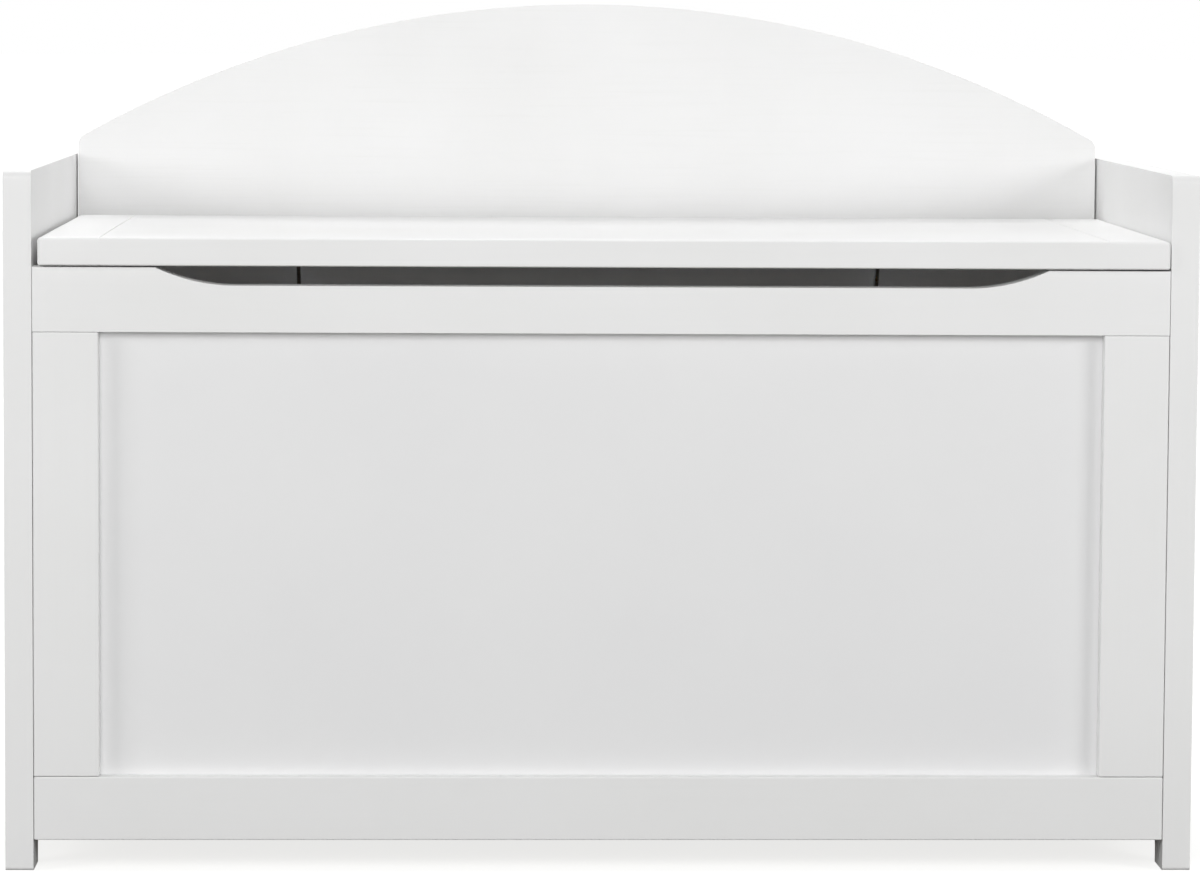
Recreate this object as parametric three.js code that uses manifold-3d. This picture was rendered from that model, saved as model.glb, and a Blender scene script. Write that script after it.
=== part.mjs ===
// Wooden toy box with a bench lid and an arched backrest, in millimetres, +Z up.
// Origin: on the floor, at the centre of the bounding box. The front looks along -Y, +X is to the right.
// Frame-and-panel front and back stand between two side panels and are drawn tight by bolts and
// barrel nuts. The lid turns on two spring-loaded support hinges fixed to the inside of the backrest.

import * as THREE from 'three';
import { mergeVertices } from 'three/addons/utils/BufferGeometryUtils.js';
import Module from 'manifold-3d';

const wasm = await Module();
wasm.setup();

// ---------------------------------------------------------------- driving dimensions

const GAP = 0.3;                 // air between two pieces that touch on the real object

const WIDTH = 850;
const SIDE = { thick: 20, depth: 400, height: 500, topRound: 6 };
const FOOT = { depth: 35, clearance: 28, round: 20, toe: 2.5 };

const LID_PROUD = 4;             // the lid's front edge stands this far in front of the side panels
const FRONT_Y = LID_PROUD / 2 - SIDE.depth / 2;      // front edge of the side panels
const BACK_Y = FRONT_Y + SIDE.depth;                 // rear edge of the side panels and of the back
const INNER = WIDTH / 2 - SIDE.thick;                // half the distance between the side panels

const RAIL_BOTTOM = { low: 22, high: 67.5 };
const RAIL_TOP = { low: 386, high: 432 };
const STILE_WIDTH = 47;
const TONGUE = 7;                // how far a panel or a tongue reaches into a groove
const GROOVE = TONGUE + 1;       // depth of that groove

const FRONT_FRAME = { name: 'front', y: FRONT_Y + 0.5, thick: 20, recess: 10, panel: 5 };
const BACK_FRAME = { name: 'back', y: BACK_Y - 15, thick: 15, recess: 4, panel: 4 };

const FINGER = { half: 318, flat: 261, depth: 12.8 };
const BACKREST = { half: 403.5, top: 620, radius: 812, corner: 8 };

const FLOOR = { top: 58, thick: 9 };
const CLEAT = { section: 18, half: 355 };

const LID = { left: -400.5, right: 404, low: 433.2, thick: 20, endWidth: 44, tongue: 8, tongueThick: 6 };
const HINGE_SLOT = 27;           // open gap between the lid's rear edge and the backrest
const LID_REAR = BACK_FRAME.y - HINGE_SLOT;

const BUMPER = { radius: 5, thick: 2.6, recess: 2, x: 376 };

const BOLT = { radius: 3, hole: 3.4, length: 62, headRadius: 6, headLength: 5, socket: 2.9 };
const COUNTERBORE = { radius: 7, depth: 8 };
const NUT = { radius: 5, fromEnd: 35, hole: 3.4, wall: 7 };
const DOWEL = { radius: 4, length: 36, inSide: 12, chamfer: 1 };

const HINGE = {
  x: 229, drop: 6.5, boss: 5, sheet: 2,
  webHalf: 1.5, plateHalf: 18, plateTop: 30.2, plateHeight: 10.3, armTop: 24,
  nearEar: -3.8, farEar: 29, leaf: [-6, 33], leafLength: 57, notch: 2.3,
  pinRadius: 2, pinHole: 2.3, barrelRadius: 4.6,
};
const AXIS = { y: LID_REAR, z: LID.low - HINGE.drop };

const ROUND = 12;                // sides of a turned piece
const CURVE = 20;                // steps along each arc of a wide outline
const SMALL_CURVE = 6;           // steps along each arc of a small one

// ---------------------------------------------------------------- materials

const WHITE_LACQUER = new THREE.MeshStandardMaterial({ color: 0xf2f1ee, roughness: 0.45, metalness: 0 });
const RAW_BEECH = new THREE.MeshStandardMaterial({ color: 0xcfae80, roughness: 0.75, metalness: 0 });
const ZINC_STEEL = new THREE.MeshStandardMaterial({ color: 0xb4b7ba, roughness: 0.35, metalness: 0.9 });
const CLEAR_RUBBER = new THREE.MeshStandardMaterial({ color: 0xd9d9d4, roughness: 0.6, metalness: 0 });

// ---------------------------------------------------------------- shape tools

/** Turns a closed three.js geometry into a solid that can be cut and joined. */
function solid(geometry) {
  const bare = geometry.clone();
  bare.deleteAttribute('normal');
  bare.deleteAttribute('uv');
  const merged = mergeVertices(bare, 1e-4);
  const mesh = new wasm.Mesh({
    numProp: 3,
    vertProperties: new Float32Array(merged.attributes.position.array),
    triVerts: new Uint32Array(merged.index.array),
  });
  return new wasm.Manifold(mesh);
}

/** Turns a solid back into a three.js geometry. */
function surface(body) {
  const mesh = body.getMesh();
  const geometry = new THREE.BufferGeometry();
  geometry.setAttribute('position', new THREE.BufferAttribute(mesh.vertProperties, 3));
  geometry.setIndex(new THREE.BufferAttribute(mesh.triVerts, 1));
  geometry.computeVertexNormals();
  return geometry;
}

/** The base geometry with the cut geometries taken away and the added ones joined. */
function shaped(base, { cuts = [], adds = [] }) {
  let body = solid(base);
  for (const add of adds) body = body.add(solid(add));
  for (const cut of cuts) body = body.subtract(solid(cut));
  return surface(body);
}

/** A rectangular board between two corners. */
function board([x0, y0, z0], [x1, y1, z1]) {
  const geometry = new THREE.BoxGeometry(x1 - x0, y1 - y0, z1 - z0);
  return geometry.translate((x0 + x1) / 2, (y0 + y1) / 2, (z0 + z1) / 2);
}

/** A round rod along 'x', 'y' or 'z', centred on a point. */
function rod(radius, length, axis, [x, y, z]) {
  const geometry = new THREE.CylinderGeometry(radius, radius, length, ROUND);
  if (axis === 'x') geometry.rotateZ(Math.PI / 2);
  if (axis === 'z') geometry.rotateX(Math.PI / 2);
  return geometry.translate(x, y, z);
}

/** An outline drawn in X and Z, given thickness between two Y planes. */
function plateXZ(outline, y0, y1) {
  const options = { depth: y1 - y0, bevelEnabled: false, curveSegments: CURVE };
  const geometry = new THREE.ExtrudeGeometry(outline, options);
  return geometry.rotateX(Math.PI / 2).translate(0, y1, 0);
}

/** An outline drawn in Y and Z, given thickness between two X planes. */
function plateYZ(outline, x0, x1) {
  const options = { depth: x1 - x0, bevelEnabled: false, curveSegments: SMALL_CURVE };
  const geometry = new THREE.ExtrudeGeometry(outline, options);
  const turn = new THREE.Matrix4().makeBasis(
    new THREE.Vector3(0, 1, 0), new THREE.Vector3(0, 0, 1), new THREE.Vector3(1, 0, 0));
  return geometry.applyMatrix4(turn).translate(x0, 0, 0);
}

/** A mesh with a name, a geometry and a material, placed at a point. */
function piece(name, geometry, material, [x, y, z] = [0, 0, 0]) {
  const mesh = new THREE.Mesh(geometry, material);
  mesh.name = name;
  mesh.position.set(x, y, z);
  return mesh;
}

// ---------------------------------------------------------------- corner joints

// One bolt with its barrel nut and one dowel hold each rail end to a side panel.
const FRONT_MID = FRONT_FRAME.y + FRONT_FRAME.thick / 2;
const BACK_MID = BACK_FRAME.y + BACK_FRAME.thick / 2;
const CORNERS = [
  { name: 'front_top', y: FRONT_MID, boltZ: 402, dowelZ: 421, frame: FRONT_FRAME },
  { name: 'front_bottom', y: FRONT_MID, boltZ: 34, dowelZ: 51, frame: FRONT_FRAME },
  { name: 'back_top', y: BACK_MID, boltZ: 410, dowelZ: 440, frame: BACK_FRAME },
  { name: 'back_bottom', y: BACK_MID, boltZ: 34, dowelZ: 51, frame: BACK_FRAME },
];
const SIDES = [{ name: 'left', sign: -1 }, { name: 'right', sign: 1 }];
const HEAD_SEAT = WIDTH / 2 - COUNTERBORE.depth;     // where the bolt heads bear on the side panels

/** Bores for bolt, nut and dowel in both ends of the rail that belongs to a corner. */
function railBores(corner) {
  const reach = BOLT.length + 4 - (HEAD_SEAT - INNER);
  const nutDepth = corner.frame.thick - NUT.wall / 2 + 0.4;
  const inside = corner.frame === FRONT_FRAME ? corner.frame.y + corner.frame.thick : corner.frame.y;
  const inward = corner.frame === FRONT_FRAME ? -1 : 1;
  const dowelReach = DOWEL.length - DOWEL.inSide + 2;
  return SIDES.flatMap(({ sign }) => [
    rod(BOLT.hole, reach + 2, 'x', [sign * (INNER + 1 - reach / 2), corner.y, corner.boltZ]),
    rod(NUT.radius + 0.4, nutDepth + 2, 'y',
      [sign * (INNER - NUT.fromEnd), inside + inward * (nutDepth / 2 - 1), corner.boltZ]),
    rod(DOWEL.radius + GAP, dowelReach + 2, 'x',
      [sign * (INNER + 1 - dowelReach / 2), corner.y, corner.dowelZ]),
  ]);
}

/** Counterbored bolt holes and blind dowel holes in one side panel. */
function sideBores(sign) {
  return CORNERS.flatMap((corner) => [
    rod(BOLT.hole, SIDE.thick + 2, 'x', [sign * (INNER + SIDE.thick / 2), corner.y, corner.boltZ]),
    rod(COUNTERBORE.radius, COUNTERBORE.depth * 2, 'x', [sign * WIDTH / 2, corner.y, corner.boltZ]),
    rod(DOWEL.radius + GAP, DOWEL.inSide * 2, 'x', [sign * INNER, corner.y, corner.dowelZ]),
  ]);
}

/** A socket-head bolt along X, its head's seat at the origin and its shank towards +X. */
function boltGeometry() {
  const { radius, headRadius, headLength, length, socket } = BOLT;
  const profile = [
    [0, -headLength], [headRadius - 0.8, -headLength], [headRadius, -headLength + 0.8], [headRadius, 0],
    [radius, 0], [radius, length - 1], [radius - 1, length], [0, length],
  ];
  const lathe = new THREE.LatheGeometry(profile.map(([r, h]) => new THREE.Vector2(r, h)), ROUND);
  const hexSocket = new THREE.CylinderGeometry(socket, socket, headLength, 6).translate(0, -headLength, 0);
  return shaped(lathe, { cuts: [hexSocket] }).rotateZ(-Math.PI / 2);
}

/** A barrel nut along Y, centred, with its cross hole along X. */
function nutGeometry(length) {
  return shaped(rod(NUT.radius, length, 'y', [0, 0, 0]), {
    cuts: [rod(NUT.hole, NUT.radius * 3, 'x', [0, 0, 0])],
  });
}

/** A beech dowel along X with chamfered ends, centred. */
function dowelGeometry() {
  const { radius, length, chamfer } = DOWEL;
  const half = length / 2 - GAP;
  const profile = [
    [0, -half], [radius - chamfer, -half], [radius, chamfer - half],
    [radius, half - chamfer], [radius - chamfer, half], [0, half],
  ];
  const lathe = new THREE.LatheGeometry(profile.map(([r, h]) => new THREE.Vector2(r, h)), ROUND);
  return lathe.rotateZ(-Math.PI / 2);
}

/** Every bolt, barrel nut and dowel, at both ends of each rail. */
function cornerHardware() {
  const group = new THREE.Group();
  const bolt = boltGeometry();
  const dowel = dowelGeometry();
  for (const { name: side, sign } of SIDES) {
    for (const corner of CORNERS) {
      const nut = nutGeometry(corner.frame.thick - NUT.wall);
      const boltMesh = piece(`bolt_${side}_${corner.name}`, bolt, ZINC_STEEL,
        [sign * (HEAD_SEAT + GAP), corner.y, corner.boltZ]);
      if (sign > 0) boltMesh.rotation.z = Math.PI;
      group.add(boltMesh);
      group.add(piece(`barrel_nut_${side}_${corner.name}`, nut, ZINC_STEEL,
        [sign * (INNER - NUT.fromEnd), corner.y, corner.boltZ]));
      group.add(piece(`dowel_${side}_${corner.name}`, dowel, RAW_BEECH,
        [sign * (INNER + DOWEL.inSide - DOWEL.length / 2), corner.y, corner.dowelZ]));
    }
  }
  return group;
}

// ---------------------------------------------------------------- side panels

/** The side panel's outline in Y and Z: arm on top, a foot at each end, a low arch between them. */
function sideOutline() {
  const { height, topRound } = SIDE;
  const { depth, clearance, round, toe } = FOOT;
  const outline = new THREE.Shape();
  outline.moveTo(FRONT_Y + toe, 0);
  outline.lineTo(FRONT_Y + depth - toe, 0);
  outline.lineTo(FRONT_Y + depth, toe);
  outline.lineTo(FRONT_Y + depth, clearance - round);
  outline.absarc(FRONT_Y + depth + round, clearance - round, round, Math.PI, Math.PI / 2, true);
  outline.lineTo(BACK_Y - depth - round, clearance);
  outline.absarc(BACK_Y - depth - round, clearance - round, round, Math.PI / 2, 0, true);
  outline.lineTo(BACK_Y - depth, toe);
  outline.lineTo(BACK_Y - depth + toe, 0);
  outline.lineTo(BACK_Y - toe, 0);
  outline.lineTo(BACK_Y, toe);
  outline.lineTo(BACK_Y, height - topRound);
  outline.absarc(BACK_Y - topRound, height - topRound, topRound, 0, Math.PI / 2, false);
  outline.lineTo(FRONT_Y + topRound, height);
  outline.absarc(FRONT_Y + topRound, height - topRound, topRound, Math.PI / 2, Math.PI, false);
  outline.lineTo(FRONT_Y, toe);
  return outline;
}

/** Both side panels, which are also the feet and the arms. */
function sidePanels() {
  const group = new THREE.Group();
  for (const { name, sign } of SIDES) {
    const x0 = sign > 0 ? INNER : -WIDTH / 2;
    const panel = plateYZ(sideOutline(), x0, x0 + SIDE.thick);
    group.add(piece(`${name}_side_panel`, shaped(panel, { cuts: sideBores(sign) }), WHITE_LACQUER));
  }
  return group;
}

// ---------------------------------------------------------------- frames

/** The Y planes of a frame: its faces, its groove and the panel that sits in the groove. */
function framePlanes({ y, thick, recess, panel }) {
  const grooveLow = y + recess;
  const panelLow = grooveLow + GAP;
  const panelHigh = panelLow + panel;
  return { low: y, high: y + thick, grooveLow, grooveHigh: panelHigh + GAP, panelLow, panelHigh };
}

/** A straight rail with a groove along one edge. */
function railGeometry(frame, z, grooveAtTop, corner, extraCuts = []) {
  const p = framePlanes(frame);
  const blank = board([GAP - INNER, p.low, z.low], [INNER - GAP, p.high, z.high]);
  const grooveZ = grooveAtTop ? [z.high - GROOVE, z.high + 1] : [z.low - 1, z.low + GROOVE];
  const groove = board([-INNER - 1, p.grooveLow, grooveZ[0]], [INNER + 1, p.grooveHigh, grooveZ[1]]);
  return shaped(blank, { cuts: [groove, ...railBores(corner), ...extraCuts] });
}

/** The finger cut-out: a long flat dip with swept ends in the top edge of the front rail. */
function fingerCut() {
  const { half, flat, depth } = FINGER;
  const run = half - flat;
  const radius = (run * run + depth * depth) / (2 * depth);
  const sweep = Math.asin(run / radius);
  const bottom = RAIL_TOP.high - depth;
  const outline = new THREE.Shape();
  outline.moveTo(-half, RAIL_TOP.high + 5);
  outline.lineTo(-half, RAIL_TOP.high);
  outline.absarc(-flat, bottom + radius, radius, -Math.PI / 2 - sweep, -Math.PI / 2, false);
  outline.absarc(flat, bottom + radius, radius, -Math.PI / 2, -Math.PI / 2 + sweep, false);
  outline.lineTo(half, RAIL_TOP.high + 5);
  const p = framePlanes(FRONT_FRAME);
  return plateXZ(outline, p.low - 2, p.high + 2);
}

/** A stile between the rails, grooved along its inner edge and tongued into both rails. */
function stileGeometry(frame, sign) {
  const p = framePlanes(frame);
  const outer = sign * (INNER - GAP);
  const inner = sign * (INNER - STILE_WIDTH);
  const [x0, x1] = [Math.min(outer, inner), Math.max(outer, inner)];
  const low = RAIL_BOTTOM.high + GAP;
  const high = RAIL_TOP.low - GAP;
  const body = board([x0, p.low, low], [x1, p.high, high]);
  const tongues = board([x0, p.panelLow, low - TONGUE], [x1, p.panelHigh, high + TONGUE]);
  const grooveX = [inner - sign, inner + sign * GROOVE].sort((a, b) => a - b);
  const groove = board(
    [grooveX[0], p.grooveLow, low - TONGUE - 1], [grooveX[1], p.grooveHigh, high + TONGUE + 1]);
  return shaped(body, { adds: [tongues], cuts: [groove] });
}

/** The thin flat panel held in the grooves of a frame. */
function panelGeometry(frame) {
  const p = framePlanes(frame);
  const half = INNER - STILE_WIDTH + TONGUE;
  return board([-half, p.panelLow, RAIL_BOTTOM.high - TONGUE], [half, p.panelHigh, RAIL_TOP.low + TONGUE]);
}

/** Stiles and panel, which the front and the back have alike. */
function stilesAndPanel(frame) {
  const group = new THREE.Group();
  for (const { name, sign } of SIDES) {
    group.add(piece(`${frame.name}_${name}_stile`, stileGeometry(frame, sign), WHITE_LACQUER));
  }
  group.add(piece(`${frame.name}_panel`, panelGeometry(frame), WHITE_LACQUER));
  return group;
}

/** The front: top rail with the finger cut-out, bottom rail, stiles and recessed panel. */
function frontFrame() {
  const [top, bottom] = [CORNERS[0], CORNERS[1]];
  const group = stilesAndPanel(FRONT_FRAME);
  group.add(piece('front_top_rail',
    railGeometry(FRONT_FRAME, RAIL_TOP, false, top, [fingerCut()]), WHITE_LACQUER));
  group.add(piece('front_bottom_rail',
    railGeometry(FRONT_FRAME, RAIL_BOTTOM, true, bottom), WHITE_LACQUER));
  return group;
}

/** The backrest's outline in X and Z: straight foot and sides under one shallow arc. */
function backrestOutline() {
  const { half, top, radius, corner } = BACKREST;
  const centre = top - radius;
  const cornerX = half - corner;
  const cornerZ = centre + Math.sqrt((radius - corner) ** 2 - cornerX ** 2);
  const turn = Math.atan2(cornerZ - centre, cornerX);
  const outline = new THREE.Shape();
  outline.moveTo(-half, RAIL_TOP.low);
  outline.lineTo(half, RAIL_TOP.low);
  outline.absarc(cornerX, cornerZ, corner, 0, turn, false);
  outline.absarc(0, centre, radius, turn, Math.PI - turn, false);
  outline.absarc(-cornerX, cornerZ, corner, Math.PI - turn, Math.PI, false);
  return outline;
}

/** The back: arched backrest that is also the top rail, bottom rail, stiles and panel. */
function backFrame() {
  const p = framePlanes(BACK_FRAME);
  const groove = board(
    [-INNER, p.grooveLow, RAIL_TOP.low - 1], [INNER, p.grooveHigh, RAIL_TOP.low + GROOVE]);
  const [top, bottom] = [CORNERS[2], CORNERS[3]];
  const group = stilesAndPanel(BACK_FRAME);
  group.add(piece('arched_backrest', shaped(plateXZ(backrestOutline(), p.low, p.high), {
    cuts: [groove, ...railBores(top)],
  }), WHITE_LACQUER));
  group.add(piece('back_bottom_rail',
    railGeometry(BACK_FRAME, RAIL_BOTTOM, true, bottom), WHITE_LACQUER));
  return group;
}

// ---------------------------------------------------------------- floor

/** The floor of the box and the four cleats that carry it. */
function floor() {
  const inFront = framePlanes(FRONT_FRAME).high + GAP;
  const inBack = BACK_FRAME.y - GAP;
  const under = FLOOR.top - FLOOR.thick;
  const [low, high] = [under - GAP - CLEAT.section, under - GAP];
  const side = INNER - GAP;
  const group = new THREE.Group();
  group.add(piece('floor_panel', board([-side, inFront, under], [side, inBack, FLOOR.top]), RAW_BEECH));
  group.add(piece('front_floor_cleat',
    board([-CLEAT.half, inFront, low], [CLEAT.half, inFront + CLEAT.section, high]), RAW_BEECH));
  group.add(piece('back_floor_cleat',
    board([-CLEAT.half, inBack - CLEAT.section, low], [CLEAT.half, inBack, high]), RAW_BEECH));
  const run = [inFront + CLEAT.section + GAP, inBack - CLEAT.section - GAP];
  for (const { name, sign } of SIDES) {
    const [x0, x1] = [sign * side, sign * (side - CLEAT.section)].sort((a, b) => a - b);
    group.add(piece(`${name}_floor_cleat`, board([x0, run[0], low], [x1, run[1], high]), RAW_BEECH));
  }
  return group;
}

// ---------------------------------------------------------------- lid

/** The recess under a lid end that holds a bumper. */
function bumperRecess(sign) {
  const depth = BUMPER.recess + GAP;
  return rod(BUMPER.radius + GAP, depth * 2, 'z', [sign * BUMPER.x, FRONT_MID, LID.low]);
}

/** The lid: a centre panel tongued into a cross-grained board at each end, and two bumpers. */
function lid() {
  const front = FRONT_Y - LID_PROUD;
  const [low, high] = [LID.low, LID.low + LID.thick];
  const mid = (low + high) / 2;
  const tongueHalf = LID.tongueThick / 2;
  const [innerLeft, innerRight] = [LID.left + LID.endWidth, LID.right - LID.endWidth];
  const group = new THREE.Group();
  group.add(piece('lid_centre_panel', shaped(
    board([innerLeft, front, low], [innerRight, LID_REAR, high]),
    { adds: [board([innerLeft - LID.tongue, front, mid - tongueHalf],
      [innerRight + LID.tongue, LID_REAR, mid + tongueHalf])] }), WHITE_LACQUER));
  const reach = LID.tongue + GAP;
  const ends = [
    { name: 'left', sign: -1, x: [LID.left, innerLeft - GAP], groove: [innerLeft - reach, innerLeft + 1] },
    { name: 'right', sign: 1, x: [innerRight + GAP, LID.right], groove: [innerRight - 1, innerRight + reach] },
  ];
  for (const { name, sign, x, groove } of ends) {
    const slot = board(
      [groove[0], front - 1, mid - tongueHalf - GAP], [groove[1], LID_REAR + 1, mid + tongueHalf + GAP]);
    const blank = board([x[0], front, low], [x[1], LID_REAR, high]);
    group.add(piece(`lid_${name}_end`,
      shaped(blank, { cuts: [slot, bumperRecess(sign)] }), WHITE_LACQUER));
    group.add(piece(`${name}_lid_bumper`, rod(BUMPER.radius, BUMPER.thick, 'z', [0, 0, 0]), CLEAR_RUBBER,
      [sign * BUMPER.x, FRONT_MID, LID.low + BUMPER.recess - BUMPER.thick / 2]));
  }
  return group;
}

// ---------------------------------------------------------------- hinges

// Hinge pieces are drawn about the hinge's own axis: X along the pin, +Y to the backrest, +Z up.
const WALL = BACK_FRAME.y - GAP - AXIS.y;            // the backrest's face, seen from the axis
const UNDERSIDE = HINGE.drop - GAP;                  // the lid's underside, seen from the axis

/** The web of the fixed bracket: a round boss on an arm that stays clear of the lid's swing. */
function webOutline() {
  const { boss, plateTop, plateHeight, armTop } = HINGE;
  const outline = new THREE.Shape();
  outline.moveTo(WALL, -armTop);
  outline.lineTo(boss, -0.5);
  outline.absarc(0, 0, boss, 0, Math.PI * 1.25, false);
  outline.lineTo(WALL - HINGE.sheet, -plateTop - plateHeight);
  outline.lineTo(WALL, -plateTop - plateHeight);
  return outline;
}

/** The bracket screwed to the foot of the backrest: a low plate with one web that carries the pin. */
function bracketGeometry() {
  const { webHalf, plateHalf, sheet, plateTop, plateHeight, pinHole } = HINGE;
  const plate = board([-plateHalf, WALL - sheet, -plateTop - plateHeight], [plateHalf, WALL, -plateTop]);
  const web = plateYZ(webOutline(), -webHalf, webHalf);
  return shaped(plate, { adds: [web], cuts: [rod(pinHole, webHalf * 4, 'x', [0, 0, 0])] });
}

/** One ear of the lid's leaf: a boss hanging from the leaf. */
function earOutline() {
  const { boss, sheet } = HINGE;
  const outline = new THREE.Shape();
  outline.moveTo(-boss * 2.4, UNDERSIDE);
  outline.lineTo(-boss * 2.4, UNDERSIDE - sheet);
  outline.absarc(0, 0, boss, Math.PI * 1.15, Math.PI * 2, false);
  outline.lineTo(boss - 2, UNDERSIDE);
  return outline;
}

/** The leaf screwed under the lid: a long plate with two ears that turn on the pin. */
function leafGeometry() {
  const { leaf, leafLength, nearEar, farEar, sheet, pinHole, notch } = HINGE;
  const rear = -3;
  const plate = board([leaf[0], rear - leafLength, UNDERSIDE - sheet], [leaf[1], rear, UNDERSIDE]);
  const ears = [nearEar, farEar].map((x) => plateYZ(earOutline(), x, x + sheet));
  const cuts = [
    rod(pinHole, leaf[1] * 4, 'x', [0, 0, 0]),
    board([-notch + 0.5, rear - 6, UNDERSIDE - sheet - 1], [notch, rear + 1, UNDERSIDE + 1]),
  ];
  return shaped(plate, { adds: ears, cuts });
}

/** The pin, riveted over at both ends outside the ears. */
function pinGeometry() {
  const { pinRadius, nearEar, farEar, sheet } = HINGE;
  const [low, high] = [nearEar - GAP, farEar + sheet + GAP];
  const head = 1.5;
  const profile = [
    [0, low - head], [pinRadius + 0.6, low - head], [pinRadius + 1.2, low], [pinRadius, low],
    [pinRadius, high], [pinRadius + 1.2, high], [pinRadius + 0.6, high + head], [0, high + head],
  ];
  const lathe = new THREE.LatheGeometry(profile.map(([r, h]) => new THREE.Vector2(r, h)), 12);
  return lathe.rotateZ(-Math.PI / 2);
}

/** The spring barrel round the pin, between the web and the far ear. */
function barrelGeometry() {
  const { barrelRadius, webHalf, farEar, pinHole } = HINGE;
  const [low, high] = [webHalf + GAP, farEar - GAP];
  const middle = [(low + high) / 2, 0, 0];
  const bore = rod(pinHole, high - low + 2, 'x', middle);
  return shaped(rod(barrelRadius, high - low, 'x', middle), { cuts: [bore] });
}

/** Both hinges, each placed on the hinge line. */
function hinges() {
  const group = new THREE.Group();
  for (const { name, sign } of SIDES) {
    const at = [sign * HINGE.x, AXIS.y, AXIS.z];
    group.add(piece(`${name}_hinge_bracket`, bracketGeometry(), ZINC_STEEL, at));
    group.add(piece(`${name}_hinge_pin`, pinGeometry(), ZINC_STEEL, at));
    group.add(piece(`${name}_hinge_spring_barrel`, barrelGeometry(), ZINC_STEEL, at));
    group.add(piece(`${name}_hinge_lid_leaf`, leafGeometry(), ZINC_STEEL, at));
  }
  return group;
}

// ---------------------------------------------------------------- the toy box

const toyBox = new THREE.Group();
toyBox.name = 'toy_box';
toyBox.add(sidePanels(), frontFrame(), backFrame(), floor(), cornerHardware(), lid(), hinges());

export default toyBox;
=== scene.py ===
"""Looks for a white wooden toy box: frame-and-panel chest, bench lid and arched backrest.

Every board, hinge, bolt and dowel of the chest is modelled again here with soft edges and its
finish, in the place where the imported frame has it. All sizes are in metres.
"""

import logging
import math
from dataclasses import dataclass, field
from enum import Enum
from typing import Callable, Iterable, Optional, Sequence, Union

import bmesh
import bpy
from mathutils import Matrix, Vector


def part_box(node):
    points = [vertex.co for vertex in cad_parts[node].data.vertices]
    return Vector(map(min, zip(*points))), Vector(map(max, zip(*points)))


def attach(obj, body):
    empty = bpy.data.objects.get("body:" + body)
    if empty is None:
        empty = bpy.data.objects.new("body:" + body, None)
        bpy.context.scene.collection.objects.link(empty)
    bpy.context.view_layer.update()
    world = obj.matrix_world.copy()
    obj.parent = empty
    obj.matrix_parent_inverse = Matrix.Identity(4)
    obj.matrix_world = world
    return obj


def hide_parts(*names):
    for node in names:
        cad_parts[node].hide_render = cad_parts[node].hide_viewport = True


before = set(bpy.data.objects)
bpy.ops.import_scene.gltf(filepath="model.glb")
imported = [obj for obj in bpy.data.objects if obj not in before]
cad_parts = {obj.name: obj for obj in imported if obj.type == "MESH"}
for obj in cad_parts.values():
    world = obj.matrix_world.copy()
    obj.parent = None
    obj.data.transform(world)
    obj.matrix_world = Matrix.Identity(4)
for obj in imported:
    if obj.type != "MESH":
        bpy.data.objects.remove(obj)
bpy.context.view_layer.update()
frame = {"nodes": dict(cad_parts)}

logging.basicConfig(level=logging.INFO, format="%(name)s: %(message)s")
log = logging.getLogger("toy_box")


def mm(size: float) -> float:
    """Millimetres as metres."""
    return size * 0.001


PAST = mm(5)       # how far a cutter runs past the face that it cuts
HAIR = mm(0.01)    # keeps one face from lying exactly in another


class Axis(Enum):
    """The three directions of the row frame."""

    X = 0
    Y = 1
    Z = 2

    @property
    def unit(self) -> Vector:
        """The unit vector along the axis."""
        return Vector([1.0 if i == self.value else 0.0 for i in range(3)])


class Side(Enum):
    """The two ends of the chest."""

    LEFT = -1
    RIGHT = 1

    @property
    def word(self) -> str:
        """The side's name as the nodes have it."""
        return self.name.lower()


class Body(Enum):
    """The two bodies that the hinge joins."""

    CHEST = "chest"
    LID = "lid"


class Slot(Enum):
    """The record's material slots."""

    LACQUER = "white_lacquered_wood"
    BEECH = "bare_beech"
    ZINC = "zinc_plated_steel"
    RUBBER = "clear_rubber"


CORNERS = ("front_top", "front_bottom", "back_top", "back_bottom")


# ---------------------------------------------------------------- finishes

Socket = bpy.types.NodeSocket


def linear(colour: str) -> tuple[float, float, float, float]:
    """Turns an sRGB hex colour into the linear values that a shader takes.

    Args:
        colour: six hex digits.

    Returns:
        Red, green, blue and alpha.
    """
    parts = [int(colour[i : i + 2], 16) / 255 for i in (0, 2, 4)]
    red, green, blue = [p / 12.92 if p <= 0.04045 else ((p + 0.055) / 1.055) ** 2.4 for p in parts]
    return (red, green, blue, 1.0)


def add_node(tree: bpy.types.NodeTree, kind: str, inputs: Optional[dict] = None,
             **settings: object) -> bpy.types.Node:
    """Adds a node with its settings and links.

    Args:
        tree: the node tree it goes in.
        kind: the node's type.
        inputs: a value or another node's output for each input, by name or number.
        settings: the node's own settings.

    Returns:
        The new node.
    """
    made = tree.nodes.new(kind)
    for key, value in settings.items():
        setattr(made, key, value)
    for socket, value in (inputs or {}).items():
        if isinstance(value, Socket):
            tree.links.new(value, made.inputs[socket])
        else:
            made.inputs[socket].default_value = value
    return made


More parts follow.
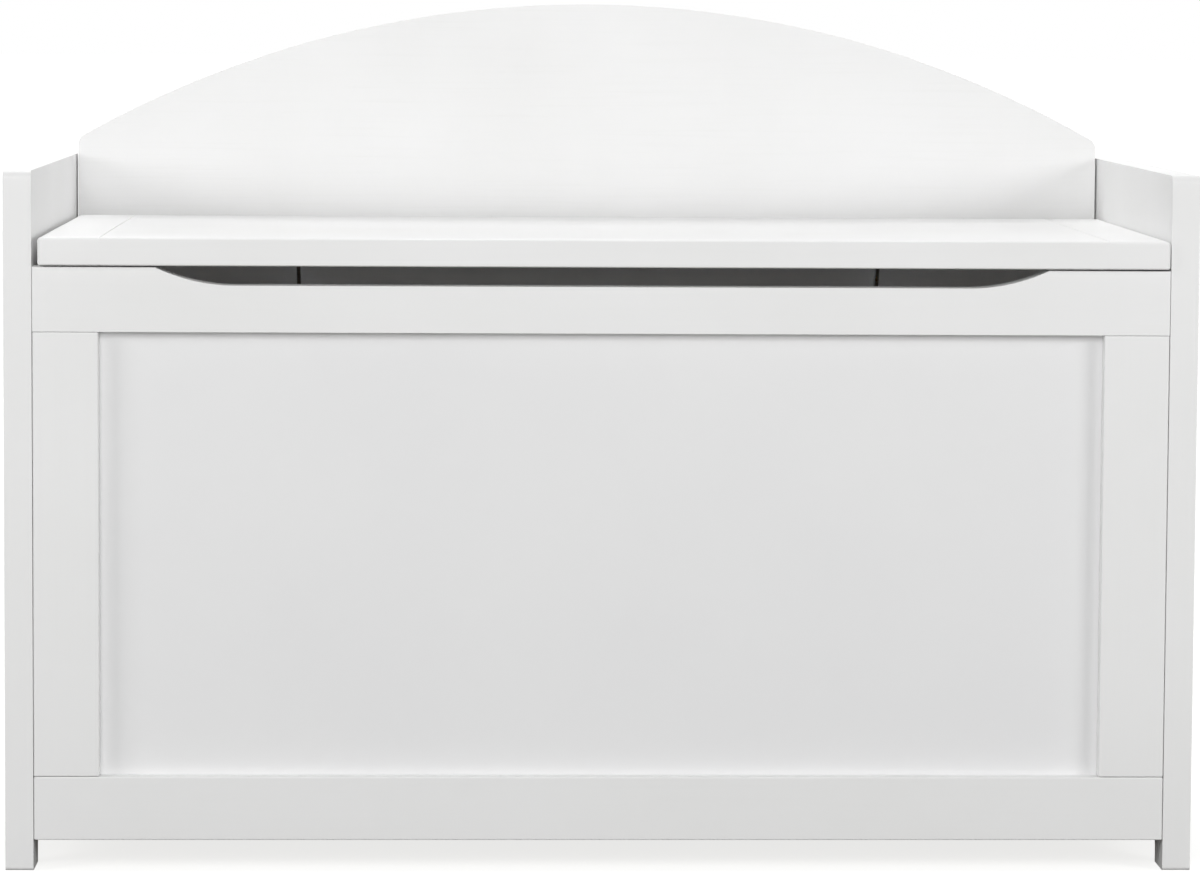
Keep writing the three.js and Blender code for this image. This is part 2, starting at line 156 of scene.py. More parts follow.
class Finish:
    """A material while it is mixed: one Principled shader, and patterns that follow the piece."""

    def __init__(self, name: str, **constants: object) -> None:
        """Starts the material.

        Args:
            name: the material's name.
            constants: values for the shader's own sockets, with underscores for spaces.
        """
        self.material = bpy.data.materials.new(name)
        self.material.use_nodes = True
        self.tree = self.material.node_tree
        self.shader = self.tree.nodes["Principled BSDF"]
        for socket, value in constants.items():
            self.shader.inputs[socket.replace("_", " ")].default_value = value
        self.place = add_node(self.tree, "ShaderNodeTexCoord").outputs["Object"]

    def stretched(self, along: Axis, share: float) -> Socket:
        """The place on the piece, drawn so that patterns come out long along one axis.

        Args:
            along: the axis that they are long along.
            share: a pattern's width over its length.

        Returns:
            The place to look a pattern up at.
        """
        scale = [1.0, 1.0, 1.0]
        scale[along.value] = share
        mapping = add_node(self.tree, "ShaderNodeMapping", {"Vector": self.place, "Scale": scale})
        return mapping.outputs["Vector"]

    def noise(self, size: float, place: Optional[Socket] = None, **inputs: float) -> Socket:
        """Noise with spots of one size.

        Args:
            size: how wide its spots are.
            place: where it is looked up, if not simply on the piece.
            inputs: the noise's other inputs.

        Returns:
            The noise, from 0 to 1.
        """
        at = self.place if place is None else place
        sockets = {"Vector": at, "Scale": 1 / size, **inputs}
        return add_node(self.tree, "ShaderNodeTexNoise", sockets).outputs["Fac"]

    def ramp(self, value: Socket, low: float, high: float, to_low: float = 0.0,
             to_high: float = 1.0) -> Socket:
        """Spreads a value over a new range and holds it at the ends.

        Args:
            value: the value.
            low: what becomes the new low end.
            high: what becomes the new high end.
            to_low: the new low end.
            to_high: the new high end.

        Returns:
            The spread value.
        """
        sockets = {"Value": value, "From Min": low, "From Max": high, "To Min": to_low, "To Max": to_high}
        return add_node(self.tree, "ShaderNodeMapRange", sockets).outputs["Result"]

    def multiply_add(self, value: Socket, factor: Union[float, Socket],
                     plus: Union[float, Socket] = 0.0) -> Socket:
        """Multiplies a value and adds to it.

        Args:
            value: the value.
            factor: what it is multiplied by.
            plus: what is added then.

        Returns:
            The result.
        """
        sockets = {0: value, 1: factor, 2: plus}
        return add_node(self.tree, "ShaderNodeMath", sockets, operation="MULTIPLY_ADD").outputs["Value"]

    def blend(self, amount: Socket, colour: Union[str, Socket], other: str) -> Socket:
        """Blends from one colour to another.

        Args:
            amount: 0 for the first colour, 1 for the other.
            colour: the first, in hex or from another node.
            other: the other, in hex.

        Returns:
            The blended colour.
        """
        first = linear(colour) if isinstance(colour, str) else colour
        sockets = {"Factor": amount, 6: first, 7: linear(other)}
        return add_node(self.tree, "ShaderNodeMix", sockets, data_type="RGBA").outputs[2]

    def lay(self, colour: Socket, roughness: Socket, height: Socket, relief: float,
            strength: float) -> bpy.types.Material:
        """Lays the patterns on the shader.

        Args:
            colour: its colour.
            roughness: its roughness.
            height: its surface, from 0 to 1.
            relief: how high 1 stands.
            strength: how much of that shows.

        Returns:
            The finished material.
        """
        bump = add_node(self.tree, "ShaderNodeBump", {
            "Height": height, "Distance": relief, "Strength": strength}).outputs["Normal"]
        self.tree.links.new(colour, self.shader.inputs["Base Color"])
        self.tree.links.new(roughness, self.shader.inputs["Roughness"])
        self.tree.links.new(bump, self.shader.inputs["Normal"])
        return self.material


@dataclass(frozen=True)
class SatinLacquer:
    """Sprayed satin lacquer on solid timber.

    Pigmented nitro lacquer, sprayed and rubbed down: a near-white film with a soft sheen, in
    which the timber's pores still show faintly as long shallow lines.
    """

    along: Axis
    name: str = "satin_lacquer"
    grain_shows: float = 0.3
    colour: str = "F2F2F2"
    shade: str = "EBEBEA"
    speck: str = "A39E95"
    grain_width: float = mm(2.2)       # pores are 0.2 mm; drawn ten times as coarse to show
    grain_length: float = mm(120)
    cloud: float = mm(160)             # film thickness drifts from pass to pass of the gun
    peel: float = mm(2.6)              # orange peel of a sprayed film
    dent_cell: float = mm(58)          # one small dent or nib in some of the cells
    dent_shape: float = 0.38           # a dent's width over its length
    dent_edge: float = mm(1.5)         # how ragged a dent's outline is
    empty_cells: float = 0.80          # the share of cells without one

    def material(self) -> bpy.types.Material:
        """Mixes the lacquer with its grain along one axis.

        Returns:
            The material.
        """
        finish = Finish(f"{self.name}_grain_{self.along.name.lower()}", IOR=1.5, Specular_IOR_Level=0.5)
        drawn = finish.stretched(self.along, self.grain_width / self.grain_length)
        grain = finish.noise(self.grain_width, drawn, Detail=4.0, Roughness=0.62, Distortion=0.35)
        lines = finish.ramp(grain, 0.52, 0.74)
        cloud = finish.noise(self.cloud, Detail=3.0)
        peel = finish.noise(self.peel, Detail=1.0)
        dents = self._dents(finish)
        mottle = finish.multiply_add(lines, 0.30 * self.grain_shows, cloud)
        film = finish.blend(finish.ramp(mottle, 0.25, 1.05), self.colour, self.shade)
        marked = finish.blend(dents, film, self.speck)
        sheen = finish.ramp(mottle, 0.2, 1.0, 0.38, 0.50)
        skin = finish.multiply_add(peel, 0.35)
        lined = finish.multiply_add(lines, -0.8 * self.grain_shows, skin)
        dented = finish.multiply_add(dents, -3.0, lined)
        return finish.lay(marked, sheen, dented, relief=mm(0.05), strength=0.8)

    def _dents(self, finish: Finish) -> Socket:
        """Sparse short dents and nibs, longer along the grain than across it.

        Args:
            finish: the material they go in.

        Returns:
            1 in a dent and 0 outside.
        """
        drawn = finish.stretched(self.along, self.dent_shape)
        ripple = finish.noise(self.dent_edge, Detail=2.0)
        cells = add_node(finish.tree, "ShaderNodeTexVoronoi", {"Vector": drawn, "Scale": 1 / self.dent_cell})
        lot = add_node(finish.tree, "ShaderNodeSeparateColor", {"Color": cells.outputs["Color"]})
        chosen = add_node(finish.tree, "ShaderNodeMath", {0: lot.outputs["Red"], 1: self.empty_cells},
                          operation="GREATER_THAN").outputs["Value"]
        uneven = finish.multiply_add(ripple, 0.035, cells.outputs["Distance"])
        return finish.multiply_add(finish.ramp(uneven, 0.036, 0.022), chosen)


@dataclass(frozen=True)
class SprayedPanel:
    """The same lacquer on fibreboard.

    Medium-density fibreboard has no grain, so the film is smooth: only orange peel and slow
    waves in the sheen are left.
    """

    colour: str = "F2F2F2"
    shade: str = "EAEAEB"
    cloud: float = mm(210)
    peel: float = mm(3.2)

    def material(self) -> bpy.types.Material:
        """Mixes the lacquer on fibreboard.

        Returns:
            The material.
        """
        finish = Finish("satin_lacquer_on_fibreboard", IOR=1.5)
        cloud = finish.noise(self.cloud, Detail=4.0, Roughness=0.55)
        peel = finish.noise(self.peel, Detail=1.5)
        film = finish.blend(cloud, self.colour, self.shade)
        sheen = finish.ramp(cloud, 0.3, 0.7, 0.40, 0.50)
        return finish.lay(film, sheen, peel, relief=mm(0.02), strength=0.7)


@dataclass(frozen=True)
class BareBeech:
    """Planed beech without finish.

    Steamed beech, planed and turned: even pinkish tan, with slow bands of year rings and the
    short dark flecks of its rays.
    """

    colour: str = "D8B98C"
    late_wood: str = "C39C6C"
    fleck: str = "9C7247"
    ring: float = mm(6)
    ring_shape: float = 0.04           # a band's width over its length
    fleck_width: float = mm(0.7)       # rays are 0.3 mm wide; drawn a little coarser to show
    fleck_length: float = mm(4)
    fleck_shows: float = 0.7

    def material(self, along: Axis) -> bpy.types.Material:
        """Mixes the beech with its grain along one axis.

        Args:
            along: the axis.

        Returns:
            The material.
        """
        finish = Finish(f"bare_beech_grain_{along.name.lower()}", IOR=1.48)
        banded = finish.stretched(along, self.ring_shape)
        dashed = finish.stretched(along, self.fleck_width / self.fleck_length)
        rings = finish.noise(self.ring, banded, Detail=3.0)
        rays = finish.noise(self.fleck_width, dashed, Detail=1.0)
        flecks = finish.multiply_add(finish.ramp(rays, 0.60, 0.70), self.fleck_shows)
        wood = finish.blend(rings, self.colour, self.late_wood)
        rayed = finish.blend(flecks, wood, self.fleck)
        rough = finish.ramp(rings, 0.0, 1.0, 0.60, 0.78)
        return finish.lay(rayed, rough, rays, relief=mm(0.08), strength=0.6)


class PlatedSteel(Enum):
    """Steel parts, by how they were plated: name, sheet colour, darker colour, low and high roughness."""

    ZINC = ("zinc_plated_steel", "C3C6C9", "A5A9AE", 0.26, 0.44)
    SPRING = ("oiled_spring_steel", "8F9092", "6B6A69", 0.24, 0.38)

    def material(self) -> bpy.types.Material:
        """Mixes the steel.

        Bright zinc is faintly blue with cloudy drifts in its gloss from the bath and the barrel;
        spring wire keeps the dark oil of its drawing.

        Returns:
            The material.
        """
        name, colour, dark, low, high = self.value
        finish = Finish(name, Metallic=1.0)
        cloud = finish.noise(mm(7), Detail=4.0)
        scuff = finish.noise(mm(0.6), Detail=2.0)
        tint = finish.blend(cloud, colour, dark)
        gloss = finish.ramp(cloud, 0.3, 0.7, low, high)
        return finish.lay(tint, gloss, scuff, relief=mm(0.01), strength=0.6)


@dataclass(frozen=True)
class CapPlastic:
    """White ABS cover caps, moulded with a fine spark-eroded texture that dulls their gloss."""

    colour: str = "EFEEEA"
    shade: str = "E4E3DE"
    grit: float = mm(0.5)              # the mould's grit is 0.05 mm; drawn ten times as coarse

    def material(self) -> bpy.types.Material:
        """Mixes the plastic.

        Returns:
            The material.
        """
        finish = Finish("moulded_abs_white", IOR=1.53)
        grit = finish.noise(self.grit, Detail=2.0)
        tint = finish.blend(grit, self.colour, self.shade)
        gloss = finish.ramp(grit, 0.0, 1.0, 0.32, 0.5)
        return finish.lay(tint, gloss, grit, relief=mm(0.02), strength=0.6)


@dataclass(frozen=True)
class ClearRubber:
    """Clear polyurethane bumpers: cast domes, slightly milky, with a little dust on the skin."""

    colour: str = "E6E6E0"
    dusty: str = "CFCFC8"
    dust: float = mm(1.2)

    def material(self) -> bpy.types.Material:
        """Mixes the rubber.

        Returns:
            The material.
        """
        finish = Finish("cast_polyurethane_clear", IOR=1.5, Transmission_Weight=0.55)
        dust = finish.noise(self.dust, Detail=3.0)
        tint = finish.blend(dust, self.colour, self.dusty)
        gloss = finish.ramp(dust, 0.0, 1.0, 0.12, 0.4)
        return finish.lay(tint, gloss, dust, relief=mm(0.02), strength=0.4)


@dataclass
class PaintShop:
    """Every finish of the toy box, each made once."""

    made: dict[str, bpy.types.Material] = field(default_factory=dict)

    def lacquer(self, along: Axis) -> bpy.types.Material:
        """Satin lacquer with its grain along an axis."""
        return self._once(f"lacquer {along}", SatinLacquer(along).material)

    def open_grain(self) -> bpy.types.Material:
        """Satin lacquer on the wide boards of the backrest, where the grain shows more."""
        board = SatinLacquer(Axis.X, "satin_lacquer_open_grain", grain_shows=0.8)
        return self._once("open grain", board.material)

    def panel(self) -> bpy.types.Material:
        """Lacquered fibreboard."""
        return self._once("panel", SprayedPanel().material)

    def beech(self, along: Axis) -> bpy.types.Material:
        """Bare beech with its grain along an axis."""
        return self._once(f"beech {along}", lambda: BareBeech().material(along))

    def steel(self, kind: PlatedSteel) -> bpy.types.Material:
        """One of the steels."""
        return self._once(f"steel {kind.name}", kind.material)

    def cap(self) -> bpy.types.Material:
        """Cap plastic."""
        return self._once("cap", CapPlastic().material)

    def rubber(self) -> bpy.types.Material:
        """Bumper rubber."""
        return self._once("rubber", ClearRubber().material)

    def _once(self, key: str, make: Callable[[], bpy.types.Material]) -> bpy.types.Material:
        """Makes a finish the first time it is asked for.

        Args:
            key: what the finish is kept under.
            make: makes it.

        Returns:
            The finish.
        """
        if key not in self.made:
            self.made[key] = make()
        return self.made[key]


# ---------------------------------------------------------------- workshop


@dataclass(frozen=True)
class EdgeView:
    """What a rule for softening edges looks at."""

    start: Vector
    end: Vector

    def runs(self, axis: Axis) -> bool:
        """Whether the edge runs along an axis."""
        way = self.end - self.start
        return abs(way[axis.value]) > 0.99 * way.length

    def on(self, axis: Axis, *places: float) -> bool:
        """Whether the whole edge lies in one of the planes across an axis."""
        ends = (self.start[axis.value], self.end[axis.value])
        return any(all(abs(end - place) < mm(0.05) for end in ends) for place in places)

    def beyond(self, axis: Axis, place: float) -> bool:
        """Whether the whole edge lies past a plane across an axis."""
        return min(self.start[axis.value], self.end[axis.value]) > place


Rule = tuple[Callable[[EdgeView], bool], float]
Point = Union[Vector, Sequence[float]]


def take_up(*pieces: bpy.types.Object) -> None:
    """Leaves only these pieces selected.

    Args:
        pieces: the pieces; the first becomes the active one.
    """
    bpy.ops.object.select_all(action="DESELECT")
    for piece in pieces:
        piece.select_set(True)
    bpy.context.view_layer.objects.active = pieces[0]


def settle(piece: bpy.types.Object, name: str) -> bpy.types.Object:
    """Names a new piece and moves its place and turn into its mesh.

    Args:
        piece: the piece.
        name: its name.

    Returns:
        The piece.
    """
    piece.name = name
    piece.data.name = name
    take_up(piece)
    bpy.ops.object.transform_apply(location=True, rotation=True, scale=True)
    return piece


def block(name: str, low: Point, high: Point) -> bpy.types.Object:
    """Adds a square-edged block between two corners.

    Args:
        name: the block's name.
        low: its lowest corner.
        high: its highest corner.

    Returns:
        The block.
    """
    low, high = Vector(low), Vector(high)
    bpy.ops.object.select_all(action="DESELECT")
    bpy.ops.mesh.primitive_cube_add(size=1, location=(low + high) / 2, scale=high - low)
    return settle(bpy.context.object, name)


def rod(name: str, radius: float, along: Axis, centre: Point, length: float,
        sides: int = 32) -> bpy.types.Object:
    """Adds a plain round rod.

    Args:
        name: the rod's name.
        radius: its radius.
        along: the axis it lies along.
        centre: its middle.
        length: its length.
        sides: how many flats its round has.

    Returns:
        The rod.
    """
    turn = along.unit.to_track_quat("Z", "Y").to_euler()
    bpy.ops.object.select_all(action="DESELECT")
    bpy.ops.mesh.primitive_cylinder_add(
        vertices=sides, radius=radius, depth=length, location=Vector(centre), rotation=turn)
    return settle(bpy.context.object, name)


def turned(name: str, profile: Sequence[tuple[float, float]], along: Axis, base: Point,
           flip: bool = False, sides: int = 32) -> bpy.types.Object:
    """Turns a solid on the lathe, ring by ring.

    Args:
        name: the piece's name.
        profile: radius and height of each ring, from one end to the other.
        along: the axis it lies along.
        base: where height 0 goes.
        flip: whether heights run against the axis.
        sides: how many flats its round has.

    Returns:
        The piece.
    """
    radius, height = profile[0]
    bpy.ops.object.select_all(action="DESELECT")
    bpy.ops.mesh.primitive_circle_add(
        vertices=sides, radius=radius, fill_type="NGON", location=(0, 0, height))
    piece = settle(bpy.context.object, name)
    bpy.ops.object.mode_set(mode="EDIT")
    bpy.ops.mesh.select_all(action="SELECT")
    for next_radius, next_height in profile[1:]:
        step = (0, 0, next_height - height)
        bpy.ops.mesh.extrude_region_move(TRANSFORM_OT_translate={"value": step})
        scale = next_radius / radius
        bpy.ops.transform.resize(value=(scale, scale, 1), center_override=(0, 0, next_height))
        radius, height = next_radius, next_height
    bpy.ops.mesh.select_all(action="SELECT")
    bpy.ops.mesh.normals_make_consistent(inside=False)
    bpy.ops.object.mode_set(mode="OBJECT")
    way = -along.unit if flip else along.unit
    piece.rotation_euler = way.to_track_quat("Z", "Y").to_euler()
    piece.location = Vector(base)
    return settle(piece, name)


def apply_modifier(piece: bpy.types.Object, kind: str, **settings: object) -> None:
    """Adds a modifier to a piece and applies it.

    Args:
        piece: the piece.
        kind: the modifier's type.
        settings: the modifier's settings.
    """
    modifier = piece.modifiers.new(kind.lower(), kind)
    for key, value in settings.items():
        setattr(modifier, key, value)
    take_up(piece)
    bpy.ops.object.modifier_apply(modifier=modifier.name)


def cut(piece: bpy.types.Object, *cutters: bpy.types.Object) -> None:
    """Cuts a piece and throws the cutters away.

    Args:
        piece: the piece.
        cutters: the solids that are cut out of it.
    """
    for cutter in cutters:
        apply_modifier(piece, "BOOLEAN", object=cutter, operation="DIFFERENCE", solver="EXACT")
        bpy.data.objects.remove(cutter)


def weld(piece: bpy.types.Object, *parts: bpy.types.Object) -> None:
    """Joins overlapping parts to a piece as one solid and throws them away.

    Args:
        piece: the piece.
        parts: what is joined to it.
    """
    for part in parts:
        apply_modifier(piece, "BOOLEAN", object=part, operation="UNION", solver="EXACT")
        bpy.data.objects.remove(part)


def round_over(piece: bpy.types.Object, rules: Iterable[Rule], segments: int = 4,
               sharp: float = math.radians(30)) -> None:
    """Rounds the sharp edges of a piece.

    Args:
        piece: the piece.
        rules: a test for an edge and the radius it gives; the last one that fits counts.
        segments: how many flats each round has.
        sharp: edges that turn less than this are left alone.
    """
    rules = list(rules)
    widest = max(radius for _, radius in rules)
    shape = bmesh.new()
    shape.from_mesh(piece.data)
    layer = shape.edges.layers.float.new("bevel_weight_edge")
    for edge in shape.edges:
        if edge.calc_face_angle(0.0) < sharp:
            continue
        view = EdgeView(edge.verts[0].co.copy(), edge.verts[1].co.copy())
        for fits, radius in rules:
            if fits(view):
                edge[layer] = radius / widest
    shape.to_mesh(piece.data)
    shape.free()
    apply_modifier(piece, "BEVEL", width=widest, segments=segments, limit_method="WEIGHT",
                   use_clamp_overlap=False, miter_outer="MITER_SHARP")


def every_edge(_: EdgeView) -> bool:
    """A rule that fits every edge."""
    return True


def tongue(piece: bpy.types.Object, along: Axis, sign: int, border: float, reach: float) -> None:
    """Draws a tongue out of the end face of a board, set in from its edges all round.

    Args:
        piece: the board.
        along: the axis the tongue points along.
        sign: which of the two ends.
        border: how far it is set in.
        reach: how far it stands out.
    """
    take_up(piece)
    bpy.ops.object.mode_set(mode="EDIT")
    bpy.ops.mesh.select_all(action="DESELECT")
    bpy.ops.mesh.select_mode(type="FACE")
    shape = bmesh.from_edit_mesh(piece.data)
    end = max(sign * vert.co[along.value] for vert in shape.verts)
    for face in shape.faces:
        at_end = all(abs(sign * vert.co[along.value] - end) < mm(0.01) for vert in face.verts)
        face.select_set(at_end)
    bmesh.update_edit_mesh(piece.data)
    bpy.ops.mesh.inset(thickness=border, depth=0)
    step = along.unit * (sign * reach)
    bpy.ops.mesh.extrude_region_move(TRANSFORM_OT_translate={"value": step})
    bpy.ops.object.mode_set(mode="OBJECT")


def smooth(piece: bpy.types.Object, angle: float = 32) -> None:
    """Shades the rounds of a piece smooth and keeps its flats flat.

    Args:
        piece: the piece.
        angle: edges that turn more than this many degrees stay sharp.
    """
    take_up(piece)
    bpy.ops.object.shade_smooth_by_angle(angle=math.radians(angle))
    apply_modifier(piece, "WEIGHTED_NORMAL", weight=100, keep_sharp=True)


def finish_piece(piece: bpy.types.Object, material: bpy.types.Material, body: Body,
                 node: Optional[str] = None) -> bpy.types.Object:
    """Shades, paints and fixes a piece to its body.

    Args:
        piece: the piece.
        material: its finish.
        body: the body it moves with.
        node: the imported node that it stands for.

    Returns:
        The piece.
    """
    smooth(piece)
    piece.data.materials.clear()
    piece.data.materials.append(material)
    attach(piece, body.value)
    if node:
        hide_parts(node)
    log.info("%s: %d faces", piece.name, len(piece.data.polygons))
    return piece


def copy_of(pattern: bpy.types.Object, name: str, placing: Matrix) -> bpy.types.Object:
    """Copies a pattern piece with a mesh of its own.

    Args:
        pattern: the piece to copy, modelled about the origin.
        name: the copy's name.
        placing: where the copy goes.

    Returns:
        The copy.
    """
    piece = pattern.copy()
    piece.data = pattern.data.copy()
    bpy.context.scene.collection.objects.link(piece)
    piece.matrix_world = placing
    return settle(piece, name)


def middle(node: str) -> Vector:
    """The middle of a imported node's box."""
    low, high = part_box(node)
    return (low + high) / 2


def throw_away(*patterns: bpy.types.Object) -> None:
    """Removes pattern pieces once their copies are made."""
    for pattern in patterns:
        bpy.data.objects.remove(pattern)


# ---------------------------------------------------------------- boards


@dataclass
class CornerBores:
    """Bores for the bolts, barrel nuts, dowels and caps that hold the corners."""

    bolt: float = mm(3.4)
    nut: float = mm(5.4)
    dowel: float = mm(4.3)
    counterbore: float = mm(7.2)
    counterbore_depth: float = mm(8)
    lip: float = mm(0.6)
    bolt_spare: float = mm(3)          # how much longer each bore is than what goes in it
    dowel_spare: float = mm(1.5)
    dowel_play: float = mm(0.5)
    nut_play: float = mm(0.6)
    nut_reach: float = mm(20)          # how far the nut's bore runs on into the box
    bolt_hole_length: float = mm(60)

    def in_rail(self, corner: str, inward: int) -> list[bpy.types.Object]:
        """Cutters for both ends of a rail.

        Args:
            corner: the corner's name.
            inward: +1 where the inside of the box lies towards +Y of the rail, -1 where towards -Y.

        Returns:
            The cutters.
        """
        cutters = []
        for side in Side:
            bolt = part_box(f"bolt_{side.word}_{corner}")
            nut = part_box(f"barrel_nut_{side.word}_{corner}")
            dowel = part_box(f"dowel_{side.word}_{corner}")
            cutters.append(self._along_x("bolt bore", self.bolt, bolt, self.bolt_spare))
            cutters.append(self._along_x("dowel bore", self.dowel, dowel, self.dowel_spare))
            centre = (nut[0] + nut[1]) / 2
            centre.y += inward * (self.nut_reach / 2)
            length = nut[1].y - nut[0].y + self.nut_reach + self.nut_play
            cutters.append(rod("nut bore", self.nut, Axis.Y, centre, length))
        return cutters

    def in_side(self, side: Side) -> list[bpy.types.Object]:
        """Cutters for all corners of a side panel: counterbore with a lip, bolt hole, dowel hole.

        Args:
            side: which side panel.

        Returns:
            The cutters.
        """
        low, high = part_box(f"{side.word}_side_panel")
        outside = high.x if side is Side.RIGHT else low.x
        cutters = []
        for corner in CORNERS:
            bolt = middle(f"bolt_{side.word}_{corner}")
            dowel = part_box(f"dowel_{side.word}_{corner}")
            profile = [
                (self.counterbore, -self.counterbore_depth), (self.counterbore, -self.lip),
                (self.counterbore + self.lip, 0), (self.counterbore + self.lip, PAST),
            ]
            cutters.append(turned("counterbore", profile, Axis.X, (outside, bolt.y, bolt.z),
                                  flip=side is Side.LEFT))
            at = (outside, bolt.y, bolt.z)
            cutters.append(rod("bolt hole", self.bolt, Axis.X, at, self.bolt_hole_length))
            cutters.append(self._along_x("dowel bore", self.dowel, dowel, self.dowel_play))
        return cutters

    @staticmethod
    def _along_x(name: str, radius: float, box: tuple[Vector, Vector], spare: float) -> bpy.types.Object:
        """A cutter round a rod that lies along X, a little longer than the rod.

        Args:
            name: the cutter's name.
            radius: its radius.
            box: the rod's lowest and highest corner.
            spare: how much longer at each end.

        Returns:
            The cutter.
        """
        low, high = box
        return rod(name, radius, Axis.X, (low + high) / 2, high.x - low.x + 2 * spare, sides=24)


@dataclass
class SidePanels:
    """The two side panels, each with an arm on top and a foot at each end."""

    paint: PaintShop
    long_edge: float = mm(2.2)
    top_edge: float = mm(3.4)
    arm_corner: float = mm(6)
    foot_depth: float = mm(35)
    foot_round: float = mm(20)
    clearance: float = mm(28)
    toe: float = mm(2.5)
    bores: CornerBores = field(default_factory=CornerBores)

    def build(self) -> None:
        """Builds both panels and the caps over their bolts."""
        for side in Side:
            self._panel(side)
        self._caps()

    def _panel(self, side: Side) -> None:
        """Saws the foot arch, rounds all edges and bores one panel.

        Args:
            side: which panel.
        """
        node = f"{side.word}_side_panel"
        low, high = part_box(node)
        panel = block(node + "_board", low, high)
        round_over(panel, [
            (lambda e: e.runs(Axis.X) and e.on(Axis.Z, high.z), self.arm_corner),
            (lambda e: e.runs(Axis.X) and e.on(Axis.Z, low.z), self.toe),
        ], segments=8)
        arch_top = low.z + self.clearance
        arch = block(
            "foot arch", (low.x - PAST, low.y + self.foot_depth, low.z - 2 * self.foot_round),
            (high.x + PAST, high.y - self.foot_depth, arch_top))
        round_over(arch, [(lambda e: e.runs(Axis.X) and e.on(Axis.Z, arch_top), self.foot_round)],
                   segments=12)
        cut(panel, arch)
        inner_toes = (low.y + self.foot_depth, high.y - self.foot_depth)
        round_over(panel, [
            (lambda e: e.runs(Axis.X) and e.on(Axis.Z, low.z) and e.on(Axis.Y, *inner_toes), self.toe),
        ], segments=3)
        shoulder = high.z - self.arm_corner - mm(1)
        round_over(panel, [
            (lambda e: e.on(Axis.X, low.x, high.x), self.long_edge),
            (lambda e: e.on(Axis.X, low.x, high.x) and e.beyond(Axis.Z, shoulder), self.top_edge),
        ])
        cut(panel, *self.bores.in_side(side))
        finish_piece(panel, self.paint.lacquer(Axis.Z), Body.CHEST, node)

    def _caps(self) -> None:
        """Presses a shallow domed cap into each counterbore, flush with the panel."""
        radius = self.bores.counterbore
        profile = [
            (radius - mm(0.9), -mm(2.4)), (radius - mm(0.15), -mm(2.2)), (radius - mm(0.1), -mm(0.9)),
            (radius - mm(0.5), -mm(0.5)), (radius * 0.72, -mm(0.25)), (radius * 0.4, -mm(0.12)),
            (radius * 0.1, -mm(0.08)),
        ]
        pattern = turned("cap pattern", profile, Axis.X, (0, 0, 0))
        for side in Side:
            low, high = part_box(f"{side.word}_side_panel")
            outside = high.x if side is Side.RIGHT else low.x
            turn = Matrix.Rotation(math.pi if side is Side.LEFT else 0, 4, "Z")
            for corner in CORNERS:
                bolt = middle(f"bolt_{side.word}_{corner}")
                place = Matrix.Translation((outside, bolt.y, bolt.z)) @ turn
                cap = copy_of(pattern, f"cap_{side.word}_{corner}", place)
                finish_piece(cap, self.paint.cap(), Body.CHEST)
        throw_away(pattern)


@dataclass
class PanelFrame:
    """A frame of two stiles and a bottom rail round a thin panel, at the front or the back."""

    paint: PaintShop
    name: str
    inward: int
    edge: float = mm(0.9)
    groove_play: float = mm(0.3)
    groove_depth: float = mm(8)
    tongue: float = mm(7)
    shoulder: float = mm(2)
    panel_edge: float = mm(1)
    bores: CornerBores = field(default_factory=CornerBores)

    def build(self) -> None:
        """Builds the stiles, the bottom rail and the panel."""
        for side in Side:
            self._stile(side)
        self._bottom_rail()
        self._panel()

    def groove(self, low: Point, high: Point) -> bpy.types.Object:
        """A cutter for the groove that holds the panel.

        Args:
            low: its lowest corner; its Y is taken from the panel.
            high: its highest corner; its Y is taken from the panel.

        Returns:
            The cutter.
        """
        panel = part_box(f"{self.name}_panel")
        return block("groove", (low[0], panel[0].y - self.groove_play, low[2]),
                     (high[0], panel[1].y + self.groove_play, high[2]))

    def _stile(self, side: Side) -> None:
        """One stile, with a tongue at each end and a groove along its inner edge.

        Args:
            side: which stile.
        """
        node = f"{self.name}_{side.word}_stile"
        low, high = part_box(node)
        low.z += self.tongue
        high.z -= self.tongue
        stile = block(node + "_board", low, high)
        round_over(stile, [(every_edge, self.edge)], segments=3)
        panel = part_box(f"{self.name}_panel")
        inner = low.x if side is Side.RIGHT else high.x
        deep = self.groove_depth + HAIR
        start, stop = sorted((inner - side.value * PAST, inner + side.value * deep))
        tenon_low = (low.x + self.shoulder, panel[0].y, low.z - self.tongue)
        tenon_high = (high.x - self.shoulder, panel[1].y, high.z + self.tongue)
        weld(stile, block("tenons", tenon_low, tenon_high))
        ends = self.tongue + PAST
        cut(stile, self.groove((start, 0, low.z - ends), (stop, 0, high.z + ends)))
        finish_piece(stile, self.paint.lacquer(Axis.Z), Body.CHEST, node)

    def _bottom_rail(self) -> None:
        """The bottom rail, grooved along its top edge."""
        node = f"{self.name}_bottom_rail"
        low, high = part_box(node)
        rail = block(node + "_board", low, high)
        round_over(rail, [(every_edge, self.edge)], segments=3)
        slot_low = (low.x - PAST, 0, high.z - self.groove_depth)
        cut(rail, self.groove(slot_low, (high.x + PAST, 0, high.z + PAST)))
        cut(rail, *self.bores.in_rail(f"{self.name}_bottom", self.inward))
        finish_piece(rail, self.paint.lacquer(Axis.X), Body.CHEST, node)

    def _panel(self) -> None:
        """The thin panel, its edges eased so that it slides into the grooves."""
        node = f"{self.name}_panel"
        low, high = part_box(node)
        panel = block(node + "_board", low, high)
        round_over(panel, [(every_edge, self.panel_edge)], segments=2)
        finish_piece(panel, self.paint.panel(), Body.CHEST, node)


